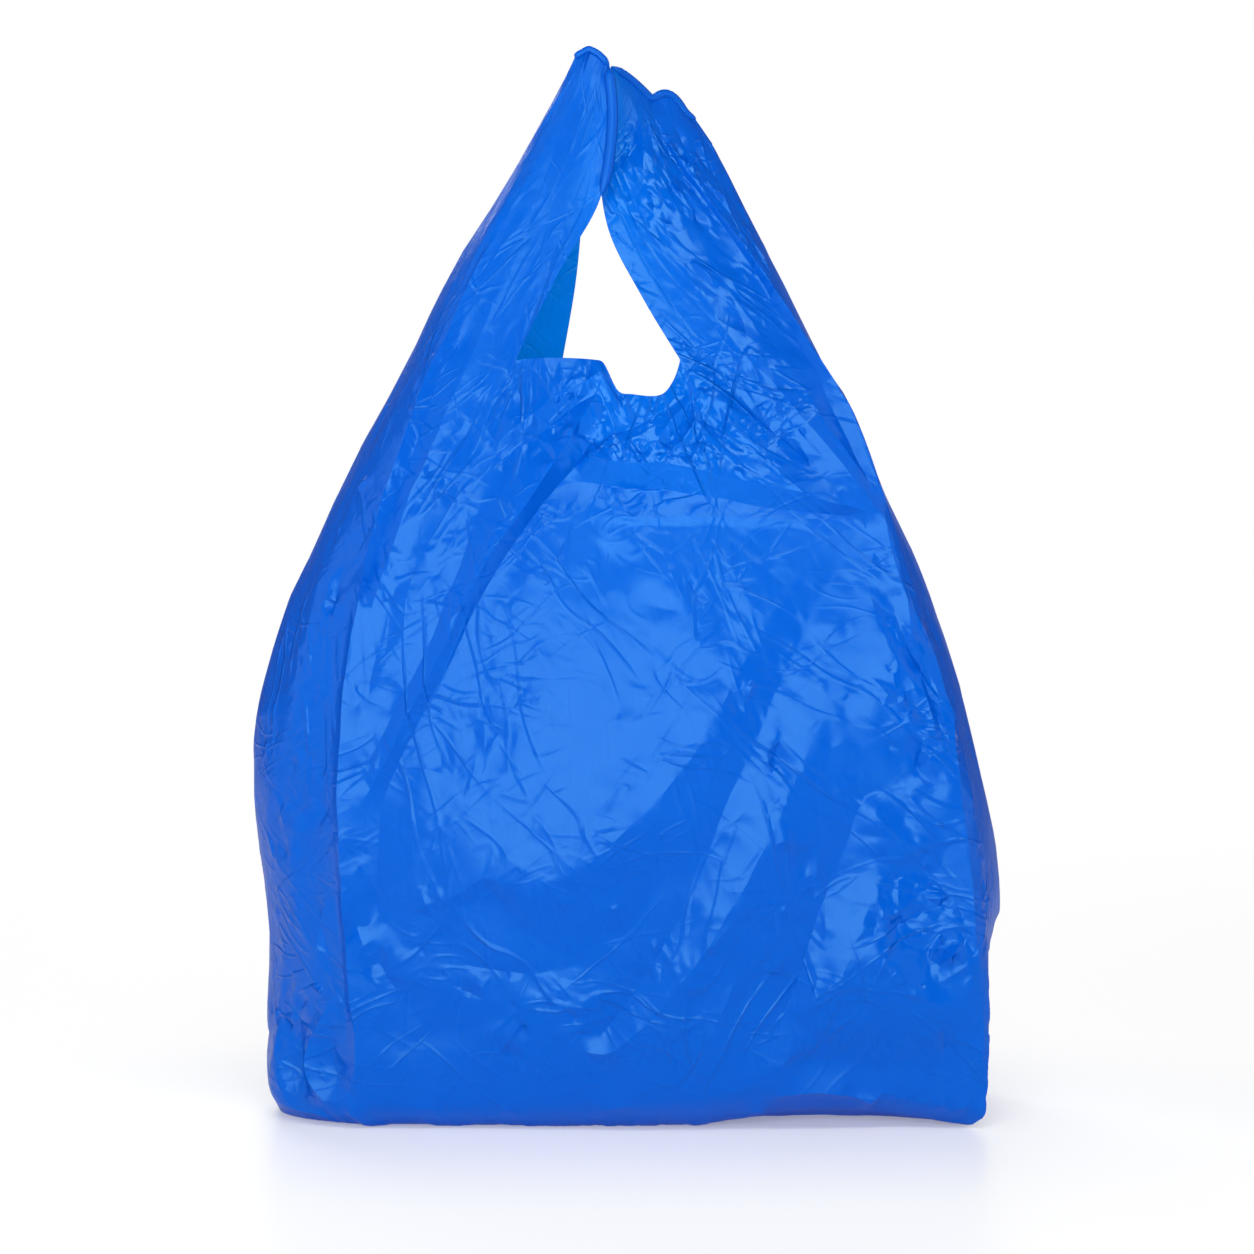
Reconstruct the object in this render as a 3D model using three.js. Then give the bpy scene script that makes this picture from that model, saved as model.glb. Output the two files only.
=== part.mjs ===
// A carrier bag of thin blue film that stands open on its base, with its two welded handles drawn together.
// Millimetres, +Z up. The front panel faces -Y, and the origin is on the floor under the middle of the bag.
import * as THREE from "three";

// Film pattern: a tube with a gusset down each side, sealed across its base and across each handle
const FACE_WIDTH = 300; // front or back panel, from crease to crease
const MOUTH_CUT = 150; // cut out of the middle of each face, which leaves a handle on either side
const WALL = 0.8; // wall of the solid, which stands for film about 0.02 thick

// The bag as it stands
const MOUTH_HEIGHT = 356; // floor to the corners of the mouth
const LEFT_TOP = 501; // floor to the gathers under the left handle's weld
const RIGHT_TOP = 481; // floor to the gathers under the right handle's weld
const STAND_DEPTH = 120; // front creases to back creases at the belly
const LEFT_SWELL = 43; // how far the left gusset swells out past its creases
const RIGHT_SWELL = 14; // how far the right gusset swells out, lower down
const RIGHT_TUCK = 22; // how far the right gusset folds in above the floor
const FRONT_BULGE = 20; // how far the front panel bows out between its creases
const BACK_BULGE = 16; // how far the back panel bows out between its creases
const FOOT_RADIUS = 9; // turn of the film from the base into the walls
const FRONT_LIFT = 9; // height of the arch where the front edge of the base leaves the floor
const LEFT_LEAN = -18; // weld of the left handle, forward of the middle
const RIGHT_LEAN = 12; // weld of the right handle, behind the middle
const RIGHT_SLANT = 9; // how much further back the right handle's gusset stands than its inner edge
const WELD_DEPTH = 8; // front to back of the gathered film just under a weld
const WELD_RISE = 3; // height of the weld over that
const PLEAT = 1; // depth of the gathers under each weld
const FOLD_RISE = 8; // how far the boldest fold stands out of the film
const FOLD_REACH = 36; // how far to either side of its line that fold dies away
const FOLD_FLOOR = 36; // height over the floor at which the folds are full

// How the film bends
const GUSSET_ROUND = 0.3; // 0 for a gusset that runs straight through its depth, 1 for one that is round
const HANDLE_CLOSING = 1.15; // 1 for a handle that closes evenly up to its weld, more for early
const LEAN_BEND = 1.4; // 1 for a handle that leans evenly, more for one that leans near its weld
const RIM_BEND = 6; // how sharply the film under the rim bends to the rim's dips
const WELD_SPREAD = 0.85; // width of the gusset on the weld, as a share of its width just below
const WELD_FOLD = 0.5; // 0 for a gusset that is round on the weld, 1 for one folded flat
const FOLD_TOP = 1.15; // where the folds of the faces end above the mouth, as a share of its height
const FOLD_HOLD = 0.3; // how soon the folds die away towards the creases
const LIFT_SPAN = [0.05, 0.97]; // ends of the arch along the front edge, as shares of half the face
const LIFT_FORWARD = [0.15, 0.42]; // where the base starts to rise and is at its full height, of the depth
const LIFT_FADE = 6; // height over which the arch dies away up the wall, in arch heights
const LIFT_ROUND = 1.5; // how gently the arch leaves the floor

// Rows and columns of the film's net
const HANDLE_COLUMNS = 6;
const MOUTH_COLUMNS = 14;
const GUSSET_COLUMNS = 10;
const BASE_ROWS = 3;
const FOOT_ROWS = 2;
const WALL_ROWS = 24;
const HANDLE_ROWS = 13;

// Outlines of the draped film. Heights are shares of MOUTH_HEIGHT and widths are shares of half the face.
const LEFT_CREASE = [[0, 0.98], [0.23, 1], [0.4, 1.03], [0.56, 1.01], [0.77, 0.93], [0.91, 0.82], [1, 0.74]];
const RIGHT_CREASE = [
  [0, 0.98], [0.15, 0.99], [0.3, 0.96], [0.43, 0.93], [0.56, 0.85], [0.81, 0.67], [0.93, 0.57], [1, 0.47],
];
const DEPTH = [[0, 0.9], [0.25, 1.03], [0.55, 1], [0.8, 0.88], [1, 0.68]];
const BULGE = [[0, 0.1], [0.18, 0.6], [0.42, 1], [0.65, 0.85], [0.85, 0.4], [1, 0.15]];
const LEFT_SIDE = [
  [0, 0.9], [0.06, 1], [0.26, 0.9], [0.54, 1], [0.68, 0.7], [0.78, 0.48], [0.9, 0.4], [1, 0.27],
];
const RIGHT_SIDE = [
  [0.18, 0], [0.24, 0.75], [0.33, 1], [0.45, 0.75], [0.6, 0.85], [0.75, 0.6], [0.85, 0.12], [1, 0.05],
];
const TUCK = [[0, 0.1], [0.1, 1], [0.2, 0.35], [0.27, 0]];

// Where the mouth corners come across the gathered face, and the height of the rim between them
const FRONT_CORNERS = [0.22, 0.64];
const BACK_CORNERS = [0.33, 0.67];
const FRONT_RIM = [[0.25, 1], [0.35, 1.003], [0.5, 1], [0.56, 0.96], [0.66, 0.955], [0.71, 0.975], [0.75, 1]];
const BACK_RIM = [[0.25, 1], [0.32, 0.97], [0.42, 0.945], [0.58, 0.945], [0.68, 0.97], [0.75, 1]];

// Handle lines above the mouth corners: share of half the face across, share of the handle's rise up
const LEFT_HANDLE = {
  hand: -1,
  top: LEFT_TOP,
  lean: LEFT_LEAN,
  slant: 0,
  crease: [[-0.61, 0.28], [-0.455, 0.55], [-0.325, 0.8], [-0.245, 1]],
  side: [[-0.69, 0.27], [-0.525, 0.53], [-0.386, 0.783], [-0.29, 0.95]],
  front: [[-0.34, 0.28], [-0.215, 0.51], [-0.175, 0.75], [-0.165, 0.925]],
  back: [[-0.295, 0.26], [-0.27, 0.5], [-0.25, 0.72], [-0.165, 0.925]],
};
const RIGHT_HANDLE = {
  hand: 1,
  top: RIGHT_TOP,
  lean: RIGHT_LEAN,
  slant: RIGHT_SLANT,
  crease: [[0.345, 0.24], [0.19, 0.51], [0.03, 0.77], [-0.05, 0.97]],
  side: [[0.385, 0.25], [0.285, 0.49], [0.165, 0.785], [0.115, 0.895]],
  front: [[-0.085, 0.24], [-0.19, 0.5], [-0.215, 0.8], [-0.19, 1.06]],
  back: [[0, 0.25], [-0.1, 0.5], [-0.15, 0.8], [-0.19, 1.06]],
};

// Main folds of the front and back film, as lines across it: shares of half the face and of MOUTH_HEIGHT.
// Each stands out by rise, or in where that is negative, and dies away within reach, both as shares of
// the boldest fold's.
const FRONT_FOLDS = [
  {
    name: "drape from the left handle",
    rise: 0.7,
    reach: 0.6,
    line: [[-0.27, 0.92], [-0.39, 0.845], [-0.52, 0.765], [-0.625, 0.685], [-0.72, 0.6], [-0.97, 0.415]],
  },
  {
    name: "hollow under the drape",
    rise: -0.6,
    reach: 0.6,
    line: [[-0.315, 0.855], [-0.42, 0.795], [-0.53, 0.725], [-0.63, 0.635], [-0.72, 0.555], [-0.845, 0.45]],
  },
  {
    name: "roll under the mouth",
    rise: 0.5,
    reach: 0.6,
    line: [[-0.24, 0.89], [0.03, 0.875], [0.345, 0.845], [0.62, 0.81]],
  },
  {
    name: "hollow under the roll",
    rise: -0.6,
    reach: 0.6,
    line: [[-0.285, 0.84], [-0.065, 0.835], [0.27, 0.815], [0.48, 0.805]],
  },
  {
    name: "pull down the right handle",
    rise: 0.6,
    reach: 0.55,
    line: [[0, 1.155], [0.195, 1.025], [0.39, 0.935], [0.62, 0.81]],
  },
  {
    name: "outer ridge below that pull",
    rise: 0.45,
    reach: 0.65,
    line: [[0.64, 0.795], [0.72, 0.645], [0.825, 0.52]],
  },
  {
    name: "lower edge of the belly",
    rise: 1,
    reach: 1,
    line: [[0.235, 0.64], [0.085, 0.525], [-0.095, 0.43], [-0.235, 0.375], [-0.395, 0.35], [-0.565, 0.36]],
  },
  {
    name: "valley of the diagonal",
    rise: -0.7,
    reach: 0.65,
    line: [[0.525, 0.76], [0.325, 0.595], [0.235, 0.505], [0.085, 0.35], [-0.035, 0.255], [-0.2, 0.15]],
  },
  {
    name: "ridge of the diagonal",
    rise: 0.8,
    reach: 0.7,
    line: [[0.585, 0.75], [0.5, 0.625], [0.335, 0.45], [0.23, 0.35], [0.1, 0.26], [-0.245, 0.13]],
  },
  {
    name: "valley beside the lower patch",
    rise: -0.45,
    reach: 0.55,
    line: [[0.57, 0.45], [0.525, 0.385], [0.465, 0.32], [0.37, 0.195]],
  },
  {
    name: "edge of the lower patch",
    rise: 0.85,
    reach: 0.7,
    line: [[0.39, 0.18], [0.505, 0.225], [0.705, 0.22], [0.88, 0.18]],
  },
  {
    name: "low fold",
    rise: 0.55,
    reach: 0.65,
    line: [[-0.09, 0.07], [0.21, 0.09], [0.36, 0.135]],
  },
];
const BACK_FOLDS = [
  {
    name: "drape from the left handle",
    rise: 0.9,
    reach: 0.75,
    line: [[-0.2, 0.94], [-0.5, 0.72], [-0.85, 0.5]],
  },
  {
    name: "drape from the right handle",
    rise: 0.9,
    reach: 0.75,
    line: [[0.2, 0.94], [0.38, 0.75], [0.7, 0.52]],
  },
  {
    name: "valley under the mouth",
    rise: -0.9,
    reach: 0.7,
    line: [[-0.35, 0.8], [0, 0.84], [0.3, 0.8]],
  },
  {
    name: "long ridge",
    rise: 0.8,
    reach: 0.9,
    line: [[-0.6, 0.62], [-0.2, 0.35], [0.2, 0.12]],
  },
];

const half = FACE_WIDTH / 2;
const handleShare = (FACE_WIDTH - MOUTH_CUT) / 2 / FACE_WIDTH;
const floorLevel = WALL / 2; // height of the film's middle where the wall lies on the floor

// A smooth curve through [place, value] knots, flat beyond its ends.
function curveThrough(knots) {
  const last = knots.length - 1;
  const slopes = knots.map((knot, i) => {
    const before = knots[Math.max(i - 1, 0)];
    const after = knots[Math.min(i + 1, last)];
    return (after[1] - before[1]) / (after[0] - before[0]);
  });
  return (place) => {
    if (place <= knots[0][0]) return knots[0][1];
    if (place >= knots[last][0]) return knots[last][1];
    const i = knots.findIndex((knot) => knot[0] > place) - 1;
    const span = knots[i + 1][0] - knots[i][0];
    const t = (place - knots[i][0]) / span;
    const ease = 3 * t ** 2 - 2 * t ** 3;
    const leaving = t * (1 - t) ** 2 * span * slopes[i];
    const arriving = t ** 2 * (t - 1) * span * slopes[i + 1];
    return (1 - ease) * knots[i][1] + leaving + ease * knots[i + 1][1] + arriving;
  };
}

const leftCrease = curveThrough(LEFT_CREASE);
const rightCrease = curveThrough(RIGHT_CREASE);
const depthShare = curveThrough(DEPTH);
const bulgeShare = curveThrough(BULGE);
const leftSide = curveThrough(LEFT_SIDE);
const rightSide = curveThrough(RIGHT_SIDE);
const tuckShare = curveThrough(TUCK);
const frontRim = curveThrough(FRONT_RIM);
const backRim = curveThrough(BACK_RIM);

// The bag's section at a height: its crease lines, its half depth and its gussets' swell.
function sectionAt(height, inset = 0) {
  const up = height / MOUTH_HEIGHT;
  return {
    left: -half * leftCrease(up) + inset,
    right: half * rightCrease(up) - inset,
    depth: (STAND_DEPTH / 2) * depthShare(up) - inset,
    leftSwell: LEFT_SWELL * leftSide(up),
    rightSwell: RIGHT_SWELL * rightSide(up) - RIGHT_TUCK * tuckShare(up),
  };
}

// Film place across a face to its place across the gathered face, which is pinched most at the mouth.
function gathered(across, up, corners) {
  const { lerp, mapLinear } = THREE.MathUtils;
  let pinched = mapLinear(across, handleShare, 1 - handleShare, corners[0], corners[1]);
  if (across < handleShare) pinched = mapLinear(across, 0, handleShare, 0, corners[0]);
  if (across > 1 - handleShare) pinched = mapLinear(across, 1 - handleShare, 1, corners[1], 1);
  return lerp(across, pinched, up * up);
}

// How far a panel bows out at a place across it.
function bowAt(side, across, up) {
  const bulge = side < 0 ? FRONT_BULGE : BACK_BULGE;
  return bulge * bulgeShare(up) * Math.sin(Math.PI * across);
}

// Signed rise of the folds at a point of a face.
function foldRise(side, x, z) {
  const folds = side < 0 ? FRONT_FOLDS : BACK_FOLDS;
  const here = new THREE.Vector3(x, 0, z);
  const nearest = new THREE.Vector3();
  let rise = 0;
  for (const fold of folds) {
    const corners = fold.line.map(([across, up]) => new THREE.Vector3(across * half, 0, up * MOUTH_HEIGHT));
    let distance = Infinity;
    for (let i = 1; i < corners.length; i += 1) {
      new THREE.Line3(corners[i - 1], corners[i]).closestPointToPoint(here, true, nearest);
      distance = Math.min(distance, nearest.distanceTo(here));
    }
    const reach = fold.reach * FOLD_REACH;
    rise += fold.rise * FOLD_RISE * THREE.MathUtils.smoothstep(reach - distance, 0, reach);
  }
  return rise;
}

// How far out a gusset's film is: round where it hangs free, and folded flat in half along a weld at 1.
function gussetOut(across, folded) {
  return THREE.MathUtils.lerp(Math.sin(Math.PI * across), 1 - Math.abs(1 - 2 * across), folded);
}

// Place of a gusset's film between the front creases at -1 and the back creases at 1.
function gussetDepth(across) {
  return THREE.MathUtils.lerp(2 * across - 1, -Math.cos(Math.PI * across), GUSSET_ROUND);
}

// A point of the wall below the mouth corners.
function bodyPoint(column, height, inset = 0) {
  const section = sectionAt(height, inset);
  if (column.hand) {
    const out = gussetOut(column.across, 0);
    const left = section.left - section.leftSwell * out;
    const right = section.right + section.rightSwell * out;
    const depth = section.depth * gussetDepth(column.across);
    return new THREE.Vector3(column.hand < 0 ? left : right, depth, height);
  }
  const up = height / MOUTH_HEIGHT;
  const corners = column.side < 0 ? FRONT_CORNERS : BACK_CORNERS;
  const x = THREE.MathUtils.lerp(section.left, section.right, gathered(column.across, up, corners));
  const out = section.depth + bowAt(column.side, column.across, up);
  return new THREE.Vector3(x, column.side * out, height);
}

// The handle that a column runs up into, or none where the mouth is cut out.
function handleOf(column) {
  if (column.hand) return column.hand < 0 ? LEFT_HANDLE : RIGHT_HANDLE;
  if (column.across <= handleShare) return LEFT_HANDLE;
  if (column.across >= 1 - handleShare) return RIGHT_HANDLE;
  return null;
}

// A handle's line in the front view, from its start at the mouth's height up to its weld.
function handleLine(handle, start, shares) {
  const rise = handle.top - MOUTH_HEIGHT;
  const points = shares.map(([across, up]) => new THREE.Vector2(across * half, MOUTH_HEIGHT + up * rise));
  return new THREE.SplineCurve([start, ...points]);
}

function addLines(handle) {
  const corner = handle.hand < 0 ? handleShare : 1 - handleShare;
  const startOf = (column) => {
    const point = bodyPoint(column, MOUTH_HEIGHT);
    return new THREE.Vector2(point.x, point.z);
  };
  return {
    crease: handleLine(handle, startOf({ hand: handle.hand, across: 0 }), handle.crease),
    side: handleLine(handle, startOf({ hand: handle.hand, across: 0.5 }), handle.side),
    front: handleLine(handle, startOf({ side: -1, across: corner }), handle.front),
    back: handleLine(handle, startOf({ side: 1, across: corner }), handle.back),
  };
}

const linesOf = new Map([LEFT_HANDLE, RIGHT_HANDLE].map((handle) => [handle, addLines(handle)]));

// A point of a handle. The film closes up from the depth of the mouth to the gathers under the weld.
// On the weld itself both layers meet in one line.
function handlePoint(column, rise, welded = false) {
  const handle = handleOf(column);
  const lines = linesOf.get(handle);
  const crease = lines.crease.getPoint(rise);
  const closing = (1 - rise) ** HANDLE_CLOSING;
  const depth = welded ? 0 : THREE.MathUtils.lerp(WELD_DEPTH / 2, sectionAt(MOUTH_HEIGHT).depth, closing);
  let place;
  let out;
  let chain; // 0 at the inner edge, 1 at the crease, 2 at the middle of the gusset
  if (column.hand) {
    const halfway = gussetOut(column.across, 0);
    const spread = welded ? WELD_SPREAD * gussetOut(column.across, WELD_FOLD) : halfway;
    place = crease.lerp(lines.side.getPoint(rise), spread);
    out = depth * gussetDepth(column.across);
    chain = 1 + halfway;
  } else {
    const edge = (column.side < 0 ? lines.front : lines.back).getPoint(rise);
    const fromCrease = Math.min(column.across, 1 - column.across) / handleShare;
    place = crease.lerp(edge, fromCrease);
    out = column.side * (depth + bowAt(column.side, column.across, 1) * closing);
    chain = 1 - fromCrease;
  }
  const gather = PLEAT * Math.sin(2 * Math.PI * chain) * rise * rise;
  const lean = handle.lean * rise ** LEAN_BEND + handle.slant * (chain - 1) * rise;
  return new THREE.Vector3(place.x, out + lean + gather, place.y + (welded ? WELD_RISE : 0));
}

// A point of the base, from the seal along its middle out to the foot of the wall.
function basePoint(column, out) {
  const { lerp } = THREE.MathUtils;
  const foot = bodyPoint(column, 0, FOOT_RADIUS);
  const section = sectionAt(0, FOOT_RADIUS);
  const corners = [section.left + section.depth, section.right - section.depth];
  let seal = lerp(corners[0], corners[1], column.across);
  if (column.hand) {
    const outermost = bodyPoint({ hand: column.hand, across: 0.5 }, 0, FOOT_RADIUS);
    const end = outermost.x - column.hand * FOOT_RADIUS;
    seal = lerp(column.hand < 0 ? corners[0] : corners[1], end, gussetOut(column.across, 1));
  }
  return new THREE.Vector3(lerp(seal, foot.x, out), foot.y * out, 0);
}

// The front edge of the base arches off the floor between the middle and the right corner.
function liftAt(point) {
  const { clamp, mapLinear, smoothstep } = THREE.MathUtils;
  const along = clamp(mapLinear(point.x, LIFT_SPAN[0] * half, LIFT_SPAN[1] * half, 0, 1), 0, 1);
  const forward = smoothstep(-point.y, LIFT_FORWARD[0] * STAND_DEPTH, LIFT_FORWARD[1] * STAND_DEPTH);
  const fade = Math.exp(-point.z / (LIFT_FADE * FRONT_LIFT));
  return FRONT_LIFT * Math.sin(Math.PI * along) ** LIFT_ROUND * forward * fade;
}

// How far the folds move a point of a face. They die away at the floor, the handles and the creases.
function foldedOut(column, point) {
  const { smoothstep } = THREE.MathUtils;
  const overFloor = smoothstep(point.z, 0, FOLD_FLOOR);
  const underHandles = smoothstep(-point.z, -FOLD_TOP * MOUTH_HEIGHT, -MOUTH_HEIGHT);
  const fromCreases = smoothstep(Math.sin(Math.PI * column.across), 0, FOLD_HOLD);
  return foldRise(column.side, point.x, point.z) * overFloor * underHandles * fromCreases;
}

// All the points of one column of film, from the seal of the base up to the rim or the weld.
function columnPoints(column) {
  const points = [];
  for (let row = 0; row < BASE_ROWS; row += 1) {
    points.push(basePoint(column, row / BASE_ROWS));
  }
  for (let row = 0; row < FOOT_ROWS; row += 1) {
    const turn = (row / FOOT_ROWS) * (Math.PI / 2);
    const inset = FOOT_RADIUS * (1 - Math.sin(turn));
    points.push(bodyPoint(column, FOOT_RADIUS * (1 - Math.cos(turn)), inset));
  }
  const handle = handleOf(column);
  const rim = handle ? 1 : (column.side < 0 ? frontRim : backRim)(column.across);
  for (let row = 0; row <= WALL_ROWS; row += 1) {
    const up = row / WALL_ROWS;
    const dip = MOUTH_HEIGHT * (rim - 1) * up ** RIM_BEND;
    points.push(bodyPoint(column, THREE.MathUtils.lerp(FOOT_RADIUS, MOUTH_HEIGHT, up) + dip));
  }
  if (handle) {
    for (let row = 1; row <= HANDLE_ROWS; row += 1) {
      points.push(handlePoint(column, row / HANDLE_ROWS));
    }
    points.push(handlePoint(column, 1, true));
  }
  for (const point of points) {
    if (column.side) point.y += column.side * foldedOut(column, point);
    point.z += floorLevel + liftAt(point);
  }
  return points;
}

// Places of the columns across a face, from its left crease to its right crease.
function faceShares() {
  const { lerp } = THREE.MathUtils;
  const shares = [];
  for (let i = 0; i < HANDLE_COLUMNS; i += 1) {
    shares.push(lerp(0, handleShare, i / HANDLE_COLUMNS));
  }
  for (let i = 0; i < MOUTH_COLUMNS; i += 1) {
    shares.push(lerp(handleShare, 1 - handleShare, i / MOUTH_COLUMNS));
  }
  for (let i = 0; i <= HANDLE_COLUMNS; i += 1) {
    shares.push(lerp(1 - handleShare, 1, i / HANDLE_COLUMNS));
  }
  return shares;
}

// The columns once round the bag: front from left to right, right gusset, back, left gusset.
function filmColumns() {
  const shares = faceShares();
  const gusset = [];
  for (let i = 1; i < GUSSET_COLUMNS; i += 1) {
    gusset.push(i / GUSSET_COLUMNS);
  }
  return [
    ...shares.map((across) => ({ side: -1, across })),
    ...gusset.map((across) => ({ hand: 1, across })),
    ...shares.toReversed().map((across) => ({ side: 1, across })),
    ...gusset.toReversed().map((across) => ({ hand: -1, across })),
  ];
}

// The film's net as shared points and triangles. Points that coincide, as along the welds, become one.
function filmNet() {
  const net = filmColumns().map(columnPoints);
  const points = [];
  const seen = new Map();
  const numberOf = (point) => {
    const key = point.toArray().map((value) => value.toFixed(3)).join();
    if (!seen.has(key)) seen.set(key, points.push(point) - 1);
    return seen.get(key);
  };
  const numbers = net.map((column) => column.map(numberOf));
  const triangles = [];
  numbers.forEach((column, i) => {
    const next = numbers[(i + 1) % numbers.length];
    const rows = Math.min(column.length, next.length) - 1;
    for (let row = 0; row < rows; row += 1) {
      const [a, b, c, d] = [column[row], next[row], next[row + 1], column[row + 1]];
      for (const triangle of [[a, b, c], [a, c, d]]) {
        if (new Set(triangle).size === 3) triangles.push(triangle);
      }
    }
  });
  return { points, triangles };
}

// Thickens the film by half a wall each way along its normals, and closes it along its free edges.
function thicken({ points, triangles }) {
  const normals = points.map(() => new THREE.Vector3());
  const face = new THREE.Triangle();
  const normal = new THREE.Vector3();
  const edges = new Map();
  for (const corners of triangles) {
    face.setFromPointsAndIndices(points, ...corners).getNormal(normal);
    corners.forEach((corner, i) => {
      const next = corners[(i + 1) % 3];
      const toNext = points[next].clone().sub(points[corner]);
      const toLast = points[corners[(i + 2) % 3]].clone().sub(points[corner]);
      normals[corner].addScaledVector(normal, toNext.angleTo(toLast));
      edges.set(`${corner},${next}`, [corner, next]);
    });
  }
  const count = points.length;
  const skin = (out) => points.map((point, i) => point.clone().addScaledVector(normals[i].normalize(), out));
  const faces = triangles.flatMap(([a, b, c]) => [[a, b, c], [count + a, count + c, count + b]]);
  for (const [a, b] of edges.values()) {
    if (!edges.has(`${b},${a}`)) faces.push([b, a, count + a], [b, count + a, count + b]);
  }
  const geometry = new THREE.BufferGeometry().setFromPoints([...skin(WALL / 2), ...skin(-WALL / 2)]);
  geometry.setIndex(faces.flat());
  geometry.computeBoundingBox();
  const middle = geometry.boundingBox.getCenter(new THREE.Vector3());
  geometry.translate(-middle.x, -middle.y, -geometry.boundingBox.min.z);
  geometry.computeVertexNormals();
  return geometry;
}

const film = new THREE.MeshStandardMaterial({ color: 0x0f66e0, roughness: 0.38, metalness: 0 });
const bag = new THREE.Mesh(thicken(filmNet()), film);
bag.name = "bag";

const carrierBag = new THREE.Group();
carrierBag.name = "carrier_bag";
carrierBag.add(bag);

export default carrierBag;
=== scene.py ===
import math
import random

import bmesh
import bpy
import numpy as np
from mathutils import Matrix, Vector
from mathutils.bvhtree import BVHTree
from mathutils.geometry import delaunay_2d_cdt


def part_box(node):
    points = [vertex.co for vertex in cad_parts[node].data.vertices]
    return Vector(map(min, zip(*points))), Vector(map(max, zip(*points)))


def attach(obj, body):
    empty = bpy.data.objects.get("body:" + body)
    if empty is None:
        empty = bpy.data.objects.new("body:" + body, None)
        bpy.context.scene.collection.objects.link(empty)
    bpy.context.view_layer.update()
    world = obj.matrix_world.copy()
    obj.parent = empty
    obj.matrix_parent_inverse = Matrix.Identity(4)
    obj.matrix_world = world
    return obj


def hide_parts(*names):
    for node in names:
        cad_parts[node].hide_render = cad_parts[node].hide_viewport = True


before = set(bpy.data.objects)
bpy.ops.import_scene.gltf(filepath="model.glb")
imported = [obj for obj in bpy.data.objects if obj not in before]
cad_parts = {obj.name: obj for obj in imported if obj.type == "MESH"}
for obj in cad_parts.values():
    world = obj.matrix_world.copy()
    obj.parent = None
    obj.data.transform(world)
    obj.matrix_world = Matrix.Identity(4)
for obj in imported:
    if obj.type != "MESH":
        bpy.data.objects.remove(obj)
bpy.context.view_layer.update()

# Metres in the scene, millimetres in the bag's own pattern, +Z up, front panel facing -Y.
scene = bpy.context.scene
metre = 1000.0


# The photograph's camera
view = {
    "pixels": 1254,  # along each side of the photograph
    "pixelSize": 0.4747,  # millimetres to a pixel, at the middle of the bag
    "floorRow": 1113,  # pixel row where the bag meets the floor
    "lens": 100.0,
    "sensor": 36.0,
    "elevation": math.radians(3.0),
    "farthest": 50.0,  # metres that the camera sees
    "fromBehind": 2.0,  # metres behind the bag, from where its back is looked at
}
viewZoom = view["lens"] / view["sensor"] * view["pixels"]
viewDistance = view["pixelSize"] / metre * viewZoom
viewAim = np.array([0.0, 0.0, (view["floorRow"] - view["pixels"] / 2) * view["pixelSize"] / metre])
viewForward = np.array([0.0, math.cos(view["elevation"]), -math.sin(view["elevation"])])
viewUp = np.array([0.0, math.sin(view["elevation"]), math.cos(view["elevation"])])
viewPlace = viewAim - viewDistance * viewForward


def addCamera():
    lensData = bpy.data.cameras.new("photoCamera")
    lensData.lens = view["lens"]
    lensData.sensor_width = view["sensor"]
    lensData.clip_end = view["farthest"]
    camera = bpy.data.objects.new("photoCamera", lensData)
    camera.location = viewPlace
    camera.rotation_euler = (math.pi / 2 - view["elevation"], 0.0, 0.0)
    scene.collection.objects.link(camera)
    scene.camera = camera


def photoPixels(points):  # where points of the scene fall in the photograph
    away = points - viewPlace
    depth = away @ viewForward
    middle = view["pixels"] / 2
    across = middle + away[:, 0] / depth * viewZoom
    down = middle - (away @ viewUp) / depth * viewZoom
    return np.stack([across, down], axis=1)


addCamera()
print("camera", [round(float(value), 3) for value in viewPlace])


# The film's pattern and the way it stands, much as in the solid: millimetres, and shares of them
bag = {
    "faceWidth": 300.0,
    "gussetWidth": 160.0,
    "mouthCut": 150.0,
    "flatLength": 550.0,
    "mouthHeight": 356.0,
    "standDepth": 120.0,
    "leftSwell": 43.0,
    "rightSwell": 14.0,
    "rightTuck": 22.0,
    "frontBulge": 20.0,
    "backBulge": 16.0,
    "footRadius": 9.0,
    "footFill": 0.95,  # share of the foot's rounding that the left gusset's slack fills
    "frontLift": 9.0,
    "weldDepth": 8.0,
    "weldRise": 3.0,
    "thickness": 0.25,  # half of it is kept between the film's surface and the floor
    "gussetRound": 0.3,
    "handleClosing": 1.15,
    "leanBend": 1.4,
    "rimBend": 6,
    "weldSpread": 0.85,
    "weldFold": 0.5,
    "weldBow": 1.5,  # over a face
    "crownSpan": (0.0, 0.65, 0.86),  # of the gusset's weld, from and to, and the rise from which it grows
    "liftSpan": (0.05, 0.97),
    "liftForward": (0.15, 0.42),
    "liftFade": 6.0,
    "liftRound": 1.5,
    "columns": {"handle": 24, "mouth": 48, "gusset": 40},
    "rows": {"base": 10, "foot": 4, "wall": 110, "handle": 56},
    "joinDigits": 3,  # of a millimetre, to which joined points agree
}
half = bag["faceWidth"] / 2
handleShare = (bag["faceWidth"] - bag["mouthCut"]) / 2 / bag["faceWidth"]
tiny = 1e-9

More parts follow.
